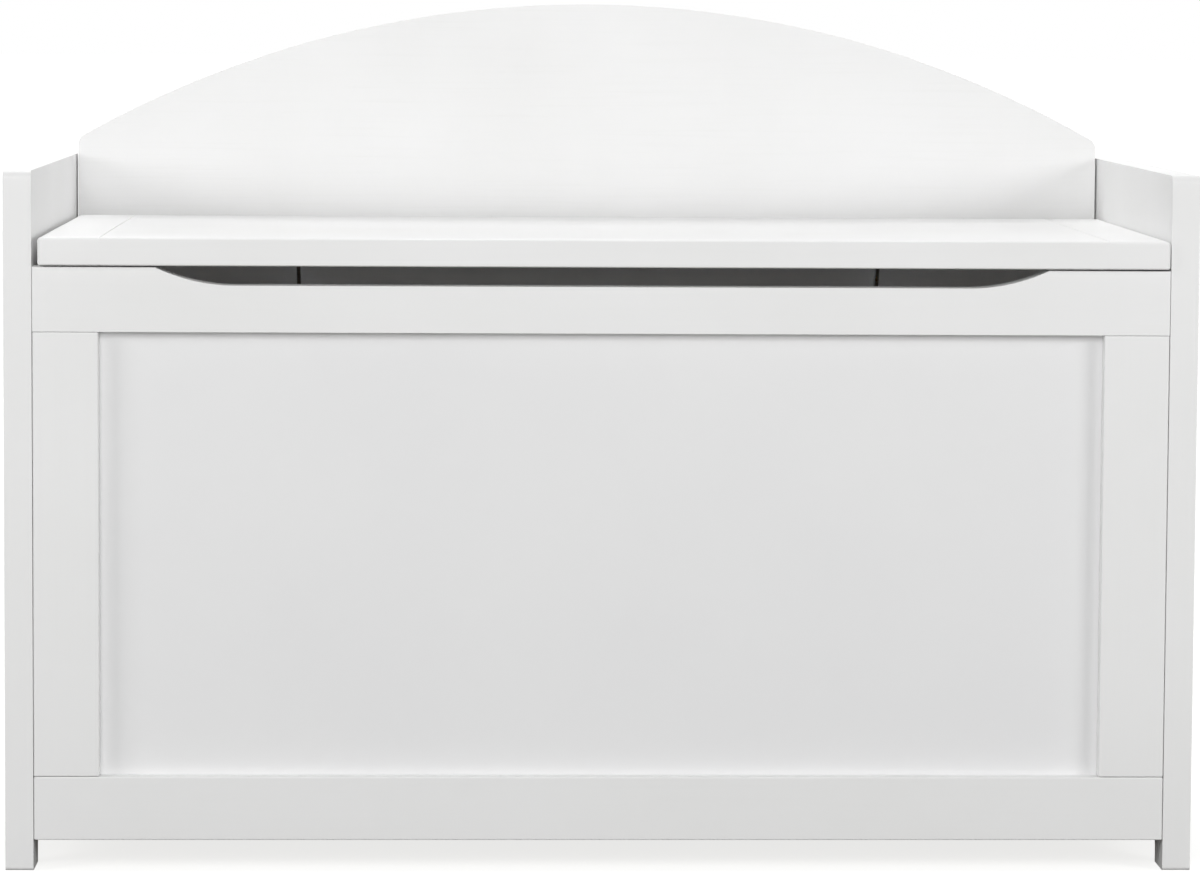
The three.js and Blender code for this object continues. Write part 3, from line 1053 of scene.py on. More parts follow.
@dataclass
class FingerRail:
    """The front top rail, with a long shallow cut-out to lift the lid by."""

    paint: PaintShop
    frame: PanelFrame
    half: float = mm(318)
    flat: float = mm(261)
    depth: float = mm(12.8)
    edge: float = mm(0.9)
    cut_edge: float = mm(1.8)
    shoulder: float = mm(2.2)

    def build(self) -> None:
        """Saws the cut-out, rounds the edges, then grooves and bores the rail."""
        node = "front_top_rail"
        low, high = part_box(node)
        rail = block(node + "_board", low, high)
        cut(rail, *self._cut_out(low, high))
        ends = [side.value * self.half for side in Side]
        round_over(rail, [(lambda e: e.runs(Axis.Y) and e.on(Axis.X, *ends), self.shoulder)],
                   segments=4, sharp=math.radians(15))
        round_over(rail, [
            (lambda e: not (e.runs(Axis.Y) and self._in_cut(e, high.z)), self.edge),
            (lambda e: self._in_cut(e, high.z) and not e.runs(Axis.Y), self.cut_edge),
        ])
        slot_high = (high.x + PAST, 0, low.z + self.frame.groove_depth)
        cut(rail, self.frame.groove((low.x - PAST, 0, low.z - PAST), slot_high))
        cut(rail, *self.frame.bores.in_rail("front_top", 1))
        finish_piece(rail, self.paint.lacquer(Axis.X), Body.CHEST, node)

    def _in_cut(self, edge: EdgeView, top: float) -> bool:
        """Whether an edge belongs to the cut-out.

        Args:
            edge: the edge.
            top: where the rail's top is.

        Returns:
            True if it does.
        """
        reach = self.half + self.shoulder * 1.1
        across = max(abs(edge.start.x), abs(edge.end.x)) < reach
        return across and edge.beyond(Axis.Z, top - self.depth - mm(1))

    def _cut_out(self, low: Vector, high: Vector) -> list[bpy.types.Object]:
        """Cutters for the cut-out: a flat dip between two large round ends.

        Args:
            low: the rail's lowest corner.
            high: the rail's highest corner.

        Returns:
            The cutters.
        """
        run = self.half - self.flat
        radius = (run * run + self.depth * self.depth) / (2 * self.depth)
        bottom = high.z - self.depth
        mid = (low.y + high.y) / 2
        across = high.y - low.y + 2 * PAST
        cutters = [block("dip", (-self.flat, low.y - PAST, bottom),
                         (self.flat, high.y + PAST, high.z + PAST))]
        for side in Side:
            centre = (side.value * self.flat, mid, bottom + radius)
            cutters.append(rod("swept end", radius, Axis.Y, centre, across, sides=512))
        return cutters


@dataclass
class Backrest:
    """The arched board that is both backrest and top rail of the back."""

    paint: PaintShop
    frame: PanelFrame
    radius: float = mm(812)
    corner: float = mm(8)
    top_edge: float = mm(3.6)
    foot_edge: float = mm(0.9)

    def build(self) -> None:
        """Saws the arch out of a disc, rounds it, then grooves and bores it."""
        node = "arched_backrest"
        low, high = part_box(node)
        centre = (0, (low.y + high.y) / 2, high.z - self.radius)
        board = rod(node + "_board", self.radius, Axis.Y, centre, high.y - low.y, sides=640)
        self._saw(board, (low.x, 0, 0), (-1, 0, 0))
        self._saw(board, (high.x, 0, 0), (1, 0, 0))
        self._saw(board, (0, 0, low.z), (0, 0, -1))
        side_top = centre[2] + math.sqrt(self.radius**2 - low.x**2)
        turn = math.pi / 2 - math.asin(high.x / self.radius)
        run = self.corner * math.tan(turn / 2)
        round_over(board, [
            (lambda e: e.runs(Axis.Y) and e.on(Axis.X, low.x, high.x) and e.beyond(Axis.Z, side_top - mm(1)),
             run),
        ], segments=8)
        round_over(board, [
            (lambda e: e.on(Axis.Y, low.y, high.y), self.top_edge),
            (lambda e: e.on(Axis.Z, low.z), self.foot_edge),
        ], segments=5)
        slot_high = (high.x + PAST, 0, low.z + self.frame.groove_depth)
        cut(board, self.frame.groove((low.x - PAST, 0, low.z - PAST), slot_high))
        cut(board, *self.frame.bores.in_rail("back_top", -1))
        finish_piece(board, self.paint.open_grain(), Body.CHEST, node)

    @staticmethod
    def _saw(board: bpy.types.Object, at: Point, off: Point) -> None:
        """Saws a board along a plane.

        Args:
            board: the board.
            at: a point on the plane.
            off: which side falls away.
        """
        take_up(board)
        bpy.ops.object.mode_set(mode="EDIT")
        bpy.ops.mesh.select_all(action="SELECT")
        bpy.ops.mesh.bisect(plane_co=at, plane_no=off, use_fill=True, clear_outer=True)
        bpy.ops.object.mode_set(mode="OBJECT")


@dataclass
class FloorBoard:
    """The bare floor of the box and the beech cleats under it."""

    paint: PaintShop
    edge: float = mm(0.8)
    cleat_edge: float = mm(1.2)
    screw_pitch: float = mm(150)
    screw_sunk: float = mm(0.15)

    def build(self) -> None:
        """Builds the floor and its cleats, with a countersunk screw every hand's breadth."""
        low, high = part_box("floor_panel")
        board = block("floor_panel_board", low, high)
        round_over(board, [(every_edge, self.edge)], segments=2)
        finish_piece(board, self.paint.beech(Axis.X), Body.CHEST, "floor_panel")
        for name in ("front", "back", "left", "right"):
            self._cleat(f"{name}_floor_cleat")

    def _cleat(self, node: str) -> None:
        """One cleat, its long edges eased and its screw holes countersunk from below.

        Args:
            node: the cleat's node.
        """
        low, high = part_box(node)
        along = Axis.X if high.x - low.x > high.y - low.y else Axis.Y
        cleat = block(node + "_bar", low, high)
        round_over(cleat, [(every_edge, self.cleat_edge)], segments=2)
        run = high[along.value] - low[along.value]
        count = max(2, round(run / self.screw_pitch))
        mid = (low + high) / 2
        holes = []
        for i in range(count):
            at = Vector((mid.x, mid.y, low.z))
            at[along.value] = low[along.value] + run * (i + 0.5) / count
            profile = [(mm(4.6), -mm(1)), (mm(4.6), 0), (mm(2.1), mm(2.4)), (mm(2.1), mm(10))]
            holes.append((at, turned("screw hole", profile, Axis.Z, at, sides=20)))
        cut(cleat, *[hole for _, hole in holes])
        finish_piece(cleat, self.paint.beech(along), Body.CHEST, node)
        pattern = screw_pattern("cleat screw pattern")
        for number, (at, _) in enumerate(holes, 1):
            sunk = at + Vector((0, 0, self.screw_sunk))
            place = Matrix.Translation(sunk) @ Matrix.Rotation(math.pi, 4, "X")
            screw = copy_of(pattern, f"{node}_screw_{number}", place)
            finish_piece(screw, self.paint.steel(PlatedSteel.ZINC), Body.CHEST)
        throw_away(pattern)


# ---------------------------------------------------------------- fastenings


def screw_pattern(name: str, head: float = mm(4.2), shank: float = mm(1.7),
                  length: float = mm(9)) -> bpy.types.Object:
    """A countersunk cross-head screw, its head's face at the origin and looking along +Z.

    Args:
        name: the pattern's name.
        head: the head's radius.
        shank: the shank's radius.
        length: from the face to the tip.

    Returns:
        The screw.
    """
    profile = [
        (shank * 0.2, -length), (shank, -length + mm(3)), (shank, -mm(2.6)), (head, -mm(0.35)),
        (head, -mm(0.12)), (head * 0.9, 0), (head * 0.2, mm(0.05)),
    ]
    screw = turned(name, profile, Axis.Z, (0, 0, 0), sides=24)
    arm, slot = head * 0.55, mm(0.45)
    for long_x in (True, False):
        half = Vector((arm, slot, mm(1.2))) if long_x else Vector((slot, arm, mm(1.2)))
        cut(screw, block("cross slot", -half, half))
    return screw


@dataclass
class CornerHardware:
    """The bolts, barrel nuts and dowels at the corners."""

    paint: PaintShop
    pitch: float = mm(1.0)
    thread_depth: float = mm(0.45)
    thread_length: float = mm(22)

    def build(self) -> None:
        """Makes one of each and copies it to all eight corners."""
        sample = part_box("bolt_right_front_top")
        bolt = self._bolt(sample[1].x - sample[0].x)
        dowel = self._dowel(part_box("dowel_right_front_top"))
        zinc = self.paint.steel(PlatedSteel.ZINC)
        for corner in CORNERS:
            nut = self._nut(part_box(f"barrel_nut_right_{corner}"))
            inward = 0 if corner.startswith("front") else math.pi
            for side in Side:
                at_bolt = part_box(f"bolt_{side.word}_{corner}")
                outer = at_bolt[1].x if side is Side.RIGHT else at_bolt[0].x
                head_out = Matrix.Rotation(0 if side is Side.RIGHT else math.pi, 4, "Z")
                mid = middle(f"bolt_{side.word}_{corner}")
                place = Matrix.Translation((outer, mid.y, mid.z)) @ head_out
                finish_piece(copy_of(bolt, f"bolt_{side.word}_{corner}_turned", place), zinc,
                             Body.CHEST, f"bolt_{side.word}_{corner}")
                seat = Matrix.Translation(middle(f"barrel_nut_{side.word}_{corner}"))
                seat = seat @ Matrix.Rotation(inward, 4, "Z")
                finish_piece(copy_of(nut, f"barrel_nut_{side.word}_{corner}_turned", seat), zinc,
                             Body.CHEST, f"barrel_nut_{side.word}_{corner}")
                peg = Matrix.Translation(middle(f"dowel_{side.word}_{corner}"))
                finish_piece(copy_of(dowel, f"dowel_{side.word}_{corner}_fluted", peg),
                             self.paint.beech(Axis.X), Body.CHEST,
                             f"dowel_{side.word}_{corner}")
            throw_away(nut)
        throw_away(bolt, dowel)

    def _bolt(self, length: float) -> bpy.types.Object:
        """A socket-head bolt along X, its head's face at the origin and looking along +X.

        Args:
            length: from the head's face to the tip.

        Returns:
            The bolt.
        """
        profile = [(mm(2.3), -length), (mm(3), -length + mm(0.8))]
        height = -length + mm(1.2)
        while height < -length + self.thread_length:
            profile.append((mm(3) - self.thread_depth, height))
            profile.append((mm(3), height + self.pitch / 2))
            height += self.pitch
        profile += [
            (mm(3), -mm(5)), (mm(6), -mm(5)), (mm(6), -mm(0.8)), (mm(5.6), -mm(0.25)), (mm(5.2), 0)]
        bolt = turned("bolt pattern", profile, Axis.X, (0, 0, 0), sides=24)
        cut(bolt, rod("hex socket", mm(2.9), Axis.X, (0, 0, 0), mm(5.6), sides=6))
        return bolt

    def _nut(self, box: tuple[Vector, Vector]) -> bpy.types.Object:
        """A barrel nut along Y, its slotted end looking along +Y.

        Args:
            box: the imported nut's lowest and highest corner.

        Returns:
            The nut.
        """
        half = (box[1].y - box[0].y) / 2
        radius = (box[1].z - box[0].z) / 2
        profile = [
            (radius - mm(0.5), -half), (radius, -half + mm(0.5)), (radius, half - mm(0.5)),
            (radius - mm(0.5), half)]
        nut = turned("nut pattern", profile, Axis.Y, (0, 0, 0))
        cut(nut, rod("cross hole", mm(3.3), Axis.X, (0, 0, 0), mm(30), sides=24),
            block("driver slot", (-mm(7), half - mm(1), -mm(0.7)), (mm(7), half + mm(1), mm(0.7))))
        return nut

    def _dowel(self, box: tuple[Vector, Vector]) -> bpy.types.Object:
        """A fluted beech dowel along X with chamfered ends.

        Args:
            box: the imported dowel's lowest and highest corner.

        Returns:
            The dowel.
        """
        half = (box[1].x - box[0].x) / 2
        radius = (box[1].z - box[0].z) / 2
        profile = [
            (radius - mm(1), -half), (radius, -half + mm(1)), (radius, half - mm(1)),
            (radius - mm(1), half)]
        dowel = turned("dowel pattern", profile, Axis.X, (0, 0, 0), sides=24)
        take_up(dowel)
        bpy.ops.object.mode_set(mode="EDIT")
        bpy.ops.mesh.select_all(action="DESELECT")
        bpy.ops.mesh.select_mode(type="FACE")
        shape = bmesh.from_edit_mesh(dowel.data)
        staves = [face for face in shape.faces if face.calc_area() > mm(0.5) * half and len(face.verts) == 4]
        staves.sort(key=lambda face: math.atan2(face.calc_center_median().z, face.calc_center_median().y))
        for number, face in enumerate(staves):
            face.select_set(number % 2 == 0)
        bmesh.update_edit_mesh(dowel.data)
        bpy.ops.mesh.inset(thickness=mm(0.25), depth=-mm(0.3), use_individual=True)
        bpy.ops.object.mode_set(mode="OBJECT")
        return dowel


# ---------------------------------------------------------------- lid


@dataclass
class BenchLid:
    """The lid: a centre board between two end boards with the grain across, and its bumpers."""

    paint: PaintShop
    front_top: float = mm(3.0)
    front_bottom: float = mm(1.8)
    outer_corner: float = mm(2.6)
    seam: float = mm(0.6)
    seam_closes: float = mm(0.14)
    tongue_border: float = mm(7)
    tongue_reach: float = mm(8)
    tongue_root: float = mm(20)        # how far the tongues' bar starts inside the board
    play: float = mm(0.3)
    recess: float = mm(5.3)
    recess_depth: float = mm(2.3)

    def build(self) -> None:
        """Builds the centre board, the end boards and the bumpers."""
        self._centre()
        for side in Side:
            self._end(side)
            self._bumper(side)

    def _centre(self) -> None:
        """The centre board, with a tongue at each end that stops short of the edges."""
        node = "lid_centre_panel"
        low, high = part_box(node)
        low.x += self.tongue_reach
        high.x -= self.tongue_reach
        low.x -= self.seam_closes
        high.x += self.seam_closes
        board = block(node + "_board", low, high)
        round_over(board, [
            (lambda e: not e.runs(Axis.Z), self.seam),
            (lambda e: e.runs(Axis.X) and e.on(Axis.Z, high.z), self.front_top),
            (lambda e: e.runs(Axis.X) and e.on(Axis.Z, low.z), self.front_bottom),
        ])
        self._tongues(board, low, high)
        finish_piece(board, self.paint.lacquer(Axis.X), Body.LID, node)

    def _tongues(self, board: bpy.types.Object, low: Vector, high: Vector) -> None:
        """Welds the tongues on, as one bar that is drawn out at both ends.

        Args:
            board: the centre board.
            low: the board's lowest corner, without the tongues.
            high: its highest corner.
        """
        root, inset = self.tongue_root, self.tongue_border
        bar = block("tongues", (low.x + root, low.y + inset, low.z + inset),
                    (high.x - root, high.y - inset, high.z - inset))
        tongue(bar, Axis.X, -1, HAIR, root + self.tongue_reach)
        tongue(bar, Axis.X, 1, HAIR, root + self.tongue_reach)
        weld(board, bar)

    def _end(self, side: Side) -> None:
        """One end board, with a stopped groove for the tongue and a recess for its bumper.

        Args:
            side: which end of the lid.
        """
        node = f"lid_{side.word}_end"
        low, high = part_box(node)
        outer = low.x if side is Side.LEFT else high.x
        if side is Side.LEFT:
            high.x += self.seam_closes
        else:
            low.x -= self.seam_closes
        inner = high.x if side is Side.LEFT else low.x
        board = block(node + "_board", low, high)
        round_over(board, [
            (lambda e: not e.runs(Axis.Z), self.seam),
            (lambda e: not e.on(Axis.X, inner) and e.on(Axis.Z, high.z), self.front_top),
            (lambda e: not e.on(Axis.X, inner) and e.on(Axis.Z, low.z), self.front_bottom),
            (lambda e: e.on(Axis.X, outer) and e.runs(Axis.Z), self.outer_corner),
        ])
        border = self.tongue_border - self.play
        deep = inner + side.value * (self.tongue_reach + self.play)
        start, stop = sorted((inner - side.value * PAST, deep))
        cut(board, block("stopped groove", (start, low.y + border, low.z + border),
                         (stop, high.y - border, high.z - border)))
        bumper = middle(f"{side.word}_lid_bumper")
        at = (bumper.x, bumper.y, low.z)
        cut(board, rod("bumper recess", self.recess, Axis.Z, at, 2 * self.recess_depth))
        finish_piece(board, self.paint.lacquer(Axis.Y), Body.LID, node)

    def _bumper(self, side: Side) -> None:
        """One bumper: a low dome on a straight skirt.

        Args:
            side: which end of the lid it is under.
        """
        node = f"{side.word}_lid_bumper"
        low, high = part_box(node)
        radius = (high.x - low.x) / 2
        mid = (low + high) / 2
        tall = high.z - low.z
        profile = [
            (radius * 0.15, 0), (radius * 0.55, mm(0.12)), (radius * 0.8, mm(0.45)),
            (radius * 0.94, mm(0.95)), (radius, tall * 0.62), (radius, tall)]
        bumper = turned(node + "_dome", profile, Axis.Z, (mid.x, mid.y, low.z))
        finish_piece(bumper, self.paint.rubber(), Body.LID, node)


# ---------------------------------------------------------------- hinges


@dataclass
class SupportHinges:
    """The two spring-loaded hinges that hold the lid where it is let go.

    Sizes are seen from the hinge's own axis: X along the pin, +Y to the backrest, +Z up.
    """

    paint: PaintShop
    sheet: float = mm(2)
    boss: float = mm(5)
    pin_hole: float = mm(2.3)
    pin: float = mm(2)
    play: float = mm(0.3)
    web_half: float = mm(1.5)
    arm_top: float = mm(-24)
    plate_half: float = mm(18)
    plate_top: float = mm(-30.2)
    plate_foot: float = mm(-40.5)
    wall: float = mm(26.7)
    near_ear: float = mm(-3.8)
    far_ear: float = mm(29)
    leaf_low: float = mm(-6)
    leaf_high: float = mm(33)
    leaf_top: float = mm(6.2)
    leaf_rear: float = mm(-3)
    leaf_front: float = mm(-60)
    notch: float = mm(2.3)
    coil: float = mm(4.6)
    wire: float = mm(0.8)
    flange: float = mm(1.4)
    edge: float = mm(0.4)
    web_edge: float = mm(0.35)
    screw_face: float = mm(0.05)       # how far a screw's face stands out of the sheet
    bore_length: float = mm(100)

    def build(self) -> None:
        """Builds one hinge about the origin and copies it to both places."""
        zinc = self.paint.steel(PlatedSteel.ZINC)
        spring = self.paint.steel(PlatedSteel.SPRING)
        patterns = {
            "bracket": (self._bracket(), zinc, Body.CHEST),
            "pin": (self._pin(), zinc, Body.CHEST),
            "spring_barrel": (self._barrel(), zinc, Body.CHEST),
            "lid_leaf": (self._leaf(), zinc, Body.LID),
        }
        coil = self._coil()
        screw = screw_pattern("hinge screw pattern", head=mm(3.6), length=mm(11))
        for side in Side:
            pin = middle(f"{side.word}_hinge_pin")
            pin.x = middle(f"{side.word}_hinge_bracket").x
            place = Matrix.Translation(pin)
            for word, (pattern, material, body) in patterns.items():
                node = f"{side.word}_hinge_{word}"
                finish_piece(copy_of(pattern, node + "_steel", place), material, body, node)
            finish_piece(copy_of(coil, f"{side.word}_hinge_coil", place), spring, Body.CHEST)
            self._screws(screw, side, place)
        throw_away(coil, screw, *[pattern for pattern, _, _ in patterns.values()])

    def _screws(self, screw: bpy.types.Object, side: Side, place: Matrix) -> None:
        """Drives the screws of one hinge: two in the bracket, three in the leaf.

        Args:
            screw: the screw to copy.
            side: which hinge.
            place: where the hinge is.
        """
        zinc = self.paint.steel(PlatedSteel.ZINC)
        to_room = Matrix.Rotation(math.pi / 2, 4, "X")
        face = self.wall - self.sheet - self.screw_face
        for number, (x, z) in enumerate(self._bracket_holes(), 1):
            at = place @ Matrix.Translation((x, face, z)) @ to_room
            name = f"{side.word}_bracket_screw_{number}"
            finish_piece(copy_of(screw, name, at), zinc, Body.CHEST)
        down = Matrix.Rotation(math.pi, 4, "X")
        under = self.leaf_top - self.sheet - self.screw_face
        for number, (x, y) in enumerate(self._leaf_holes(), 1):
            at = place @ Matrix.Translation((x, y, under)) @ down
            name = f"{side.word}_leaf_screw_{number}"
            finish_piece(copy_of(screw, name, at), zinc, Body.LID)

    @staticmethod
    def _bracket_holes() -> list[tuple[float, float]]:
        """X and Z of the screw holes in the bracket's plate."""
        return [(mm(x), mm(-35.4)) for x in (-11, 11)]

    @staticmethod
    def _leaf_holes() -> list[tuple[float, float]]:
        """X and Y of the screw holes in the leaf."""
        return [(mm(4), mm(-24)), (mm(23), mm(-24)), (mm(13.5), mm(-48))]

    def _shear_plate(self, name: str, x: float, thick: float,
                     corners: Sequence[tuple[float, float]]) -> bpy.types.Object:
        """A four-cornered web or ear, drawn in Y and Z, joined to its boss.

        Args:
            name: its name.
            x: its lower face in X.
            thick: its thickness.
            corners: the outline's Y and Z: low front, high front, high rear, low rear.

        Returns:
            The plate with its boss.
        """
        plate = block(name, (x, -mm(1), -mm(1)), (x + thick, mm(1), mm(1)))
        starts = [(-mm(1), -mm(1)), (-mm(1), mm(1)), (mm(1), mm(1)), (mm(1), -mm(1))]
        picks = [[v.index for v in plate.data.vertices
                  if abs(v.co.y - y) < mm(0.1) and abs(v.co.z - z) < mm(0.1)] for y, z in starts]
        for pick, (y, z), (to_y, to_z) in zip(picks, starts, corners):
            for vert in plate.data.vertices:
                vert.select = vert.index in pick
            take_up(plate)
            bpy.ops.object.mode_set(mode="EDIT")
            bpy.ops.mesh.select_mode(type="VERT")
            bpy.ops.mesh.select_all(action="DESELECT")
            shape = bmesh.from_edit_mesh(plate.data)
            shape.verts.ensure_lookup_table()
            for index in pick:
                shape.verts[index].select_set(True)
            bmesh.update_edit_mesh(plate.data)
            bpy.ops.transform.translate(value=(0, to_y - y, to_z - z))
            bpy.ops.object.mode_set(mode="OBJECT")
        round_over(plate, [(every_edge, self.web_edge)], segments=2, sharp=math.radians(10))
        boss = rod("boss", self.boss, Axis.X, (x + thick / 2, 0, 0), thick, sides=40)
        round_over(boss, [(lambda e: not e.runs(Axis.X), self.web_edge)], segments=2)
        weld(plate, boss)
        return plate

    def _bracket(self) -> bpy.types.Object:
        """The bracket: a low plate at the foot of the backrest, with one web for the pin.

        Returns:
            The bracket.
        """
        plate = block("bracket pattern", (-self.plate_half, self.wall - self.sheet, self.plate_foot),
                      (self.plate_half, self.wall, self.plate_top))
        round_over(plate, [
            (every_edge, self.edge),
            (lambda e: e.runs(Axis.Y), mm(3)),
        ], segments=4)
        outline = [
            (-self.boss * 0.7, -self.boss * 0.7), (self.boss * 0.98, -mm(0.5)),
            (self.wall - mm(0.3), self.arm_top), (self.wall - mm(0.3), self.plate_foot + mm(0.2))]
        weld(plate, self._shear_plate("web", -self.web_half, 2 * self.web_half, outline))
        cut(plate, rod("pin bore", self.pin_hole, Axis.X, (0, 0, 0), self.bore_length))
        for x, z in self._bracket_holes():
            profile = [(mm(1.9), -mm(6)), (mm(1.9), -mm(2)), (mm(3.9), 0), (mm(3.9), mm(4))]
            face = self.wall - self.sheet
            cut(plate, turned("screw hole", profile, Axis.Y, (x, face, z), flip=True, sides=24))
        return plate

    def _leaf(self) -> bpy.types.Object:
        """The leaf: a long plate under the lid with two ears on the pin.

        Returns:
            The leaf.
        """
        under = self.leaf_top - self.sheet
        leaf = block("leaf pattern", (self.leaf_low, self.leaf_front, under),
                     (self.leaf_high, self.leaf_rear, self.leaf_top))
        round_over(leaf, [
            (every_edge, self.edge),
            (lambda e: e.runs(Axis.Z) and e.on(Axis.Y, self.leaf_front), mm(8)),
        ], segments=6)
        outline = [
            (-self.boss * 0.89, -self.boss * 0.454), (-self.boss * 2.4, self.leaf_top - mm(0.05)),
            (self.boss - mm(2), self.leaf_top - mm(0.05)), (self.boss, 0)]
        for x in (self.near_ear, self.far_ear):
            weld(leaf, self._shear_plate("ear", x, self.sheet, outline))
        notch_low = (self.near_ear + self.sheet, self.leaf_rear - mm(6), under - mm(1))
        notch_high = (self.notch, self.leaf_rear + mm(1), self.leaf_top + mm(1))
        cut(leaf, block("notch for the web", notch_low, notch_high),
            rod("pin bore", self.pin_hole, Axis.X, (0, 0, 0), self.bore_length))
        for x, y in self._leaf_holes():
            profile = [(mm(1.9), -mm(6)), (mm(1.9), -mm(2)), (mm(3.9), 0), (mm(3.9), mm(4))]
            cut(leaf, turned("screw hole", profile, Axis.Z, (x, y, under), flip=True, sides=24))
        return leaf

    def _pin(self) -> bpy.types.Object:
        """The pin, riveted over outside both ears.

        Returns:
            The pin.
        """
        low, high = self.near_ear - self.play, self.far_ear + self.sheet + self.play
        head = [(self.pin, 0), (self.pin + mm(1.2), 0), (self.pin + mm(1.2), mm(0.6)),
                (self.pin + mm(0.7), mm(1.15)), (self.pin * 0.5, mm(1.5))]
        profile = [(radius, low - height) for radius, height in reversed(head)]
        profile += [(radius, high + height) for radius, height in head]
        return turned("pin pattern", profile, Axis.X, (0, 0, 0), sides=28)

    def _barrel_run(self) -> tuple[float, float]:
        """Where the barrel starts and ends along the pin, between the web and the far ear."""
        return self.web_half + self.play, self.far_ear - self.play

    def _barrel(self) -> bpy.types.Object:
        """The sleeve that the spring is wound on, with a flange at each end.

        Returns:
            The sleeve.
        """
        low, high = self._barrel_run()
        core = self.coil - 2 * self.wire
        profile = [
            (self.coil - mm(0.3), low), (self.coil, low + mm(0.3)), (self.coil, low + self.flange),
            (core, low + self.flange), (core, high - self.flange), (self.coil, high - self.flange),
            (self.coil, high - mm(0.3)), (self.coil - mm(0.3), high)]
        barrel = turned("barrel pattern", profile, Axis.X, (0, 0, 0), sides=40)
        cut(barrel, rod("bore", self.pin_hole, Axis.X, (0, 0, 0), self.bore_length))
        return barrel

    def _coil(self) -> bpy.types.Object:
        """The torsion spring: a wire section drawn round the pin as a helix.

        Returns:
            The spring.
        """
        low, high = self._barrel_run()
        low += mm(1.6) + self.wire
        run = high - mm(1.6) - self.wire - low
        turns = int(run / (2.15 * self.wire))
        bpy.ops.object.select_all(action="DESELECT")
        bpy.ops.mesh.primitive_circle_add(
            vertices=10, radius=self.wire, location=(low, self.coil - self.wire, 0))
        coil = settle(bpy.context.object, "coil pattern")
        apply_modifier(coil, "SCREW", axis="X", screw_offset=run / turns, iterations=turns,
                       steps=24, render_steps=24, angle=math.tau)
        take_up(coil)
        bpy.ops.object.mode_set(mode="EDIT")
        bpy.ops.mesh.select_all(action="SELECT")
        bpy.ops.mesh.remove_doubles(threshold=mm(0.01))
        bpy.ops.mesh.select_all(action="DESELECT")
        bpy.ops.mesh.select_mode(type="EDGE")
        bpy.ops.mesh.select_non_manifold()
        bpy.ops.mesh.edge_face_add()
        bpy.ops.mesh.select_all(action="SELECT")
        bpy.ops.mesh.normals_make_consistent(inside=False)
        bpy.ops.object.mode_set(mode="OBJECT")
        return coil


# ---------------------------------------------------------------- studio


@dataclass(frozen=True)
class Softbox:
    """One square softbox: its name, where it hangs, what it looks at, its power and its side."""

    name: str
    at: tuple[float, float, float]
    aim: tuple[float, float, float]
    watts: float
    size: float

    def hang(self) -> None:
        """Hangs the softbox, out of the camera's sight."""
        lamp = bpy.data.lights.new(self.name, "AREA")
        lamp.energy = self.watts
        lamp.size = self.size
        holder = bpy.data.objects.new(self.name, lamp)
        holder.location = self.at
        way = Vector(self.aim) - Vector(self.at)
        holder.rotation_euler = way.to_track_quat("-Z", "Y").to_euler()
        holder.visible_camera = False
        bpy.context.scene.collection.objects.link(holder)


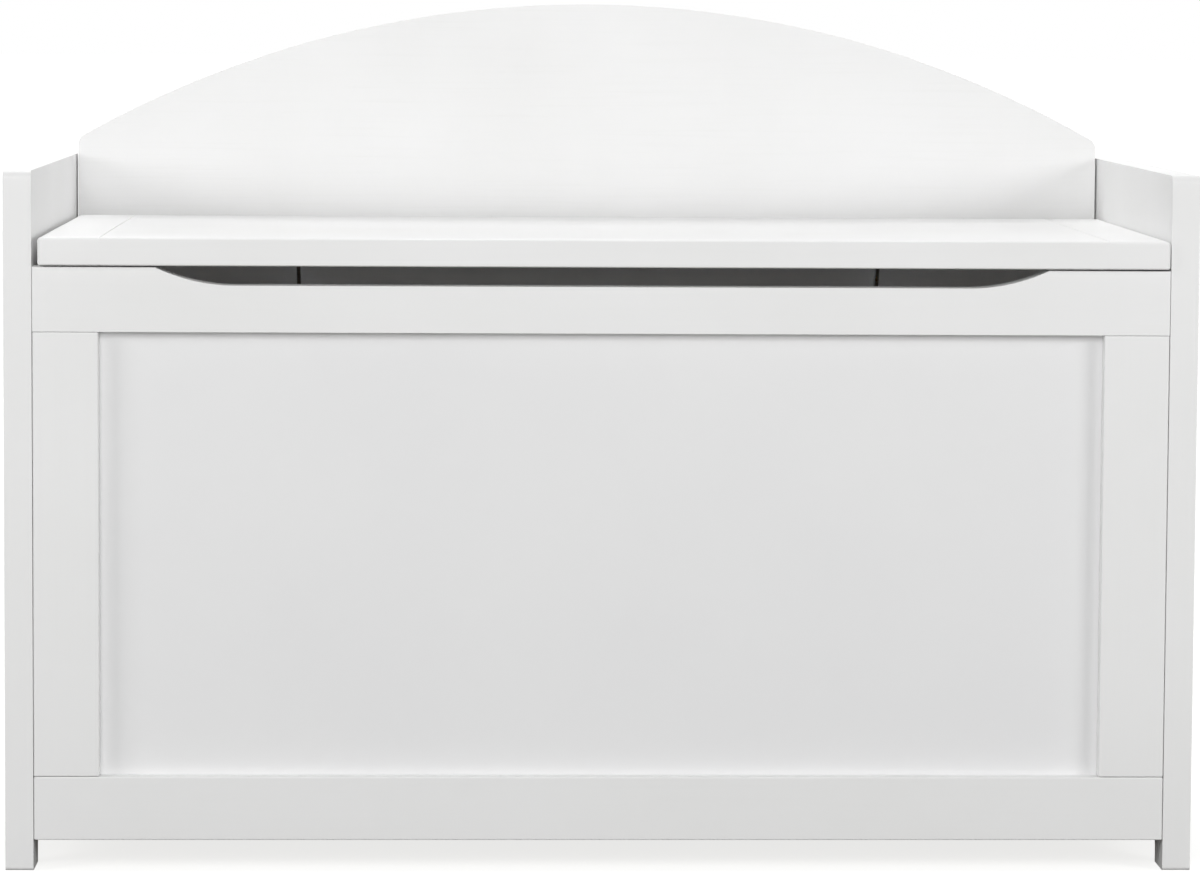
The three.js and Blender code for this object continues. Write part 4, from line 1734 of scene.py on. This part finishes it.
@dataclass
class Studio:
    """A pale floor that brightens into the backdrop, five softboxes, and the camera."""

    camera_at: tuple[float, float, float] = (-0.1039, -3.4112, 0.6126)
    yaw: float = 0.03167
    pitch: float = 0.07814
    roll: float = 0.00584
    lens: float = 136.03
    lens_shift: float = -0.06
    floor_half: float = 60.0
    floor_glow: float = 0.79
    backdrop_glow: float = 1.05
    glow_near: float = 0.7             # the floor's glow rises from here
    glow_far: float = 2.5              # to here
    floor_shows: str = "B0B0AF"
    floor_drifts: str = "B3B3B2"
    floor_bounces: str = "A1A19F"
    sky: float = 0.15
    softboxes: tuple[Softbox, ...] = (
        Softbox("left_softbox", (-2.2, -1.2, 1.0), (0, -0.2, 0.4), watts=15.0, size=0.8),
        Softbox("right_softbox", (2.0, -1.5, 1.0), (0, -0.2, 0.4), watts=16.5, size=0.8),
        Softbox("far_softbox", (-0.3, -4.2, 1.6), (0, 0, 0.4), watts=80.0, size=2.0),
        Softbox("rear_softbox", (-0.1, 1.0, 2.2), (0, 0, 0.4), watts=26.0, size=1.4),
        Softbox("backdrop_softbox", (0, 4.0, 1.5), (0, 0, 0.4), watts=14.0, size=2.5),
    )

    def build(self) -> None:
        """Sets out the floor, the lights, the sky and the camera."""
        self._floor()
        for softbox in self.softboxes:
            softbox.hang()
        self._sky()
        self._camera()
        bpy.context.scene.view_settings.view_transform = "Standard"

    def _floor(self) -> None:
        """A large matt floor that looks lit from within, and throws less light back than it shows."""
        bpy.ops.object.select_all(action="DESELECT")
        bpy.ops.mesh.primitive_plane_add(size=2 * self.floor_half, location=(0, 0, -mm(0.05)))
        floor = settle(bpy.context.object, "studio_floor")
        finish = Finish("matt_studio_floor", Roughness=0.9, Specular_IOR_Level=0.0,
                        Emission_Color=(1.0, 1.0, 0.99, 1.0))
        tree, shader = finish.tree, finish.shader
        tint = finish.blend(finish.noise(2 / 3, Detail=2.0), self.floor_shows, self.floor_drifts)
        tree.links.new(tint, shader.inputs["Base Color"])
        # Painted light: the floor's glow, seen by the camera only, is weaker near the chest and stronger
        # further off, so the floor round the chest shows greyer and the far floor shows white.
        away = add_node(tree, "ShaderNodeVectorMath", {0: finish.place}, operation="LENGTH")
        glow = finish.ramp(away.outputs["Value"], self.glow_near, self.glow_far, self.floor_glow,
                           self.backdrop_glow)
        tree.links.new(glow, shader.inputs["Emission Strength"])
        bounce = add_node(tree, "ShaderNodeBsdfDiffuse", {"Color": linear(self.floor_bounces)})
        looked_at = add_node(tree, "ShaderNodeLightPath").outputs["Is Camera Ray"]
        both = add_node(tree, "ShaderNodeMixShader", {
            0: looked_at, 1: bounce.outputs[0], 2: shader.outputs[0]})
        tree.links.new(both.outputs[0], tree.nodes["Material Output"].inputs["Surface"])
        floor.data.materials.append(finish.material)

    def _sky(self) -> None:
        """White surroundings: pure white to look at and to mirror, softer as a light."""
        world = bpy.data.worlds.new("studio")
        bpy.context.scene.world = world
        world.use_nodes = True
        tree = world.node_tree
        tree.nodes.clear()
        ray = add_node(tree, "ShaderNodeLightPath").outputs
        seen = add_node(tree, "ShaderNodeMath", {0: ray["Is Camera Ray"], 1: ray["Is Glossy Ray"]},
                        operation="MAXIMUM").outputs["Value"]
        light = add_node(tree, "ShaderNodeBackground", {"Color": (1, 1, 1, 1), "Strength": self.sky})
        white = add_node(tree, "ShaderNodeBackground", {"Color": (1, 1, 1, 1), "Strength": 1.0})
        both = add_node(tree, "ShaderNodeMixShader", {
            0: seen, 1: light.outputs[0], 2: white.outputs[0]})
        add_node(tree, "ShaderNodeOutputWorld", {"Surface": both.outputs[0]})

    def _camera(self) -> None:
        """A long lens in front of the chest, a little above it and shifted slightly down."""
        ahead = Vector((math.sin(self.yaw) * math.cos(self.pitch),
                        math.cos(self.yaw) * math.cos(self.pitch), -math.sin(self.pitch)))
        right = Vector((math.cos(self.yaw), -math.sin(self.yaw), 0))
        up = right.cross(ahead)
        across = right * math.cos(self.roll) + up * math.sin(self.roll)
        above = up * math.cos(self.roll) - right * math.sin(self.roll)
        camera = bpy.data.cameras.new("camera")
        camera.lens = self.lens
        camera.shift_y = self.lens_shift
        camera.sensor_width = 36
        camera.clip_end = 200
        holder = bpy.data.objects.new("camera", camera)
        holder.rotation_euler = Matrix((across, above, -ahead)).transposed().to_euler()
        holder.location = self.camera_at
        bpy.context.scene.collection.objects.link(holder)
        bpy.context.scene.camera = holder


# ---------------------------------------------------------------- the toy box


def main() -> None:
    """Builds the toy box, board by board, then the studio round it."""
    paint = PaintShop()
    front = PanelFrame(paint, "front", inward=1)
    back = PanelFrame(paint, "back", inward=-1)
    stages = [
        Studio(), SidePanels(paint), front, FingerRail(paint, front), back, Backrest(paint, back),
        FloorBoard(paint), CornerHardware(paint), BenchLid(paint), SupportHinges(paint),
    ]
    for stage in stages:
        stage.build()
        log.info("%s built", type(stage).__name__)


if __name__ == "__main__":
    main()
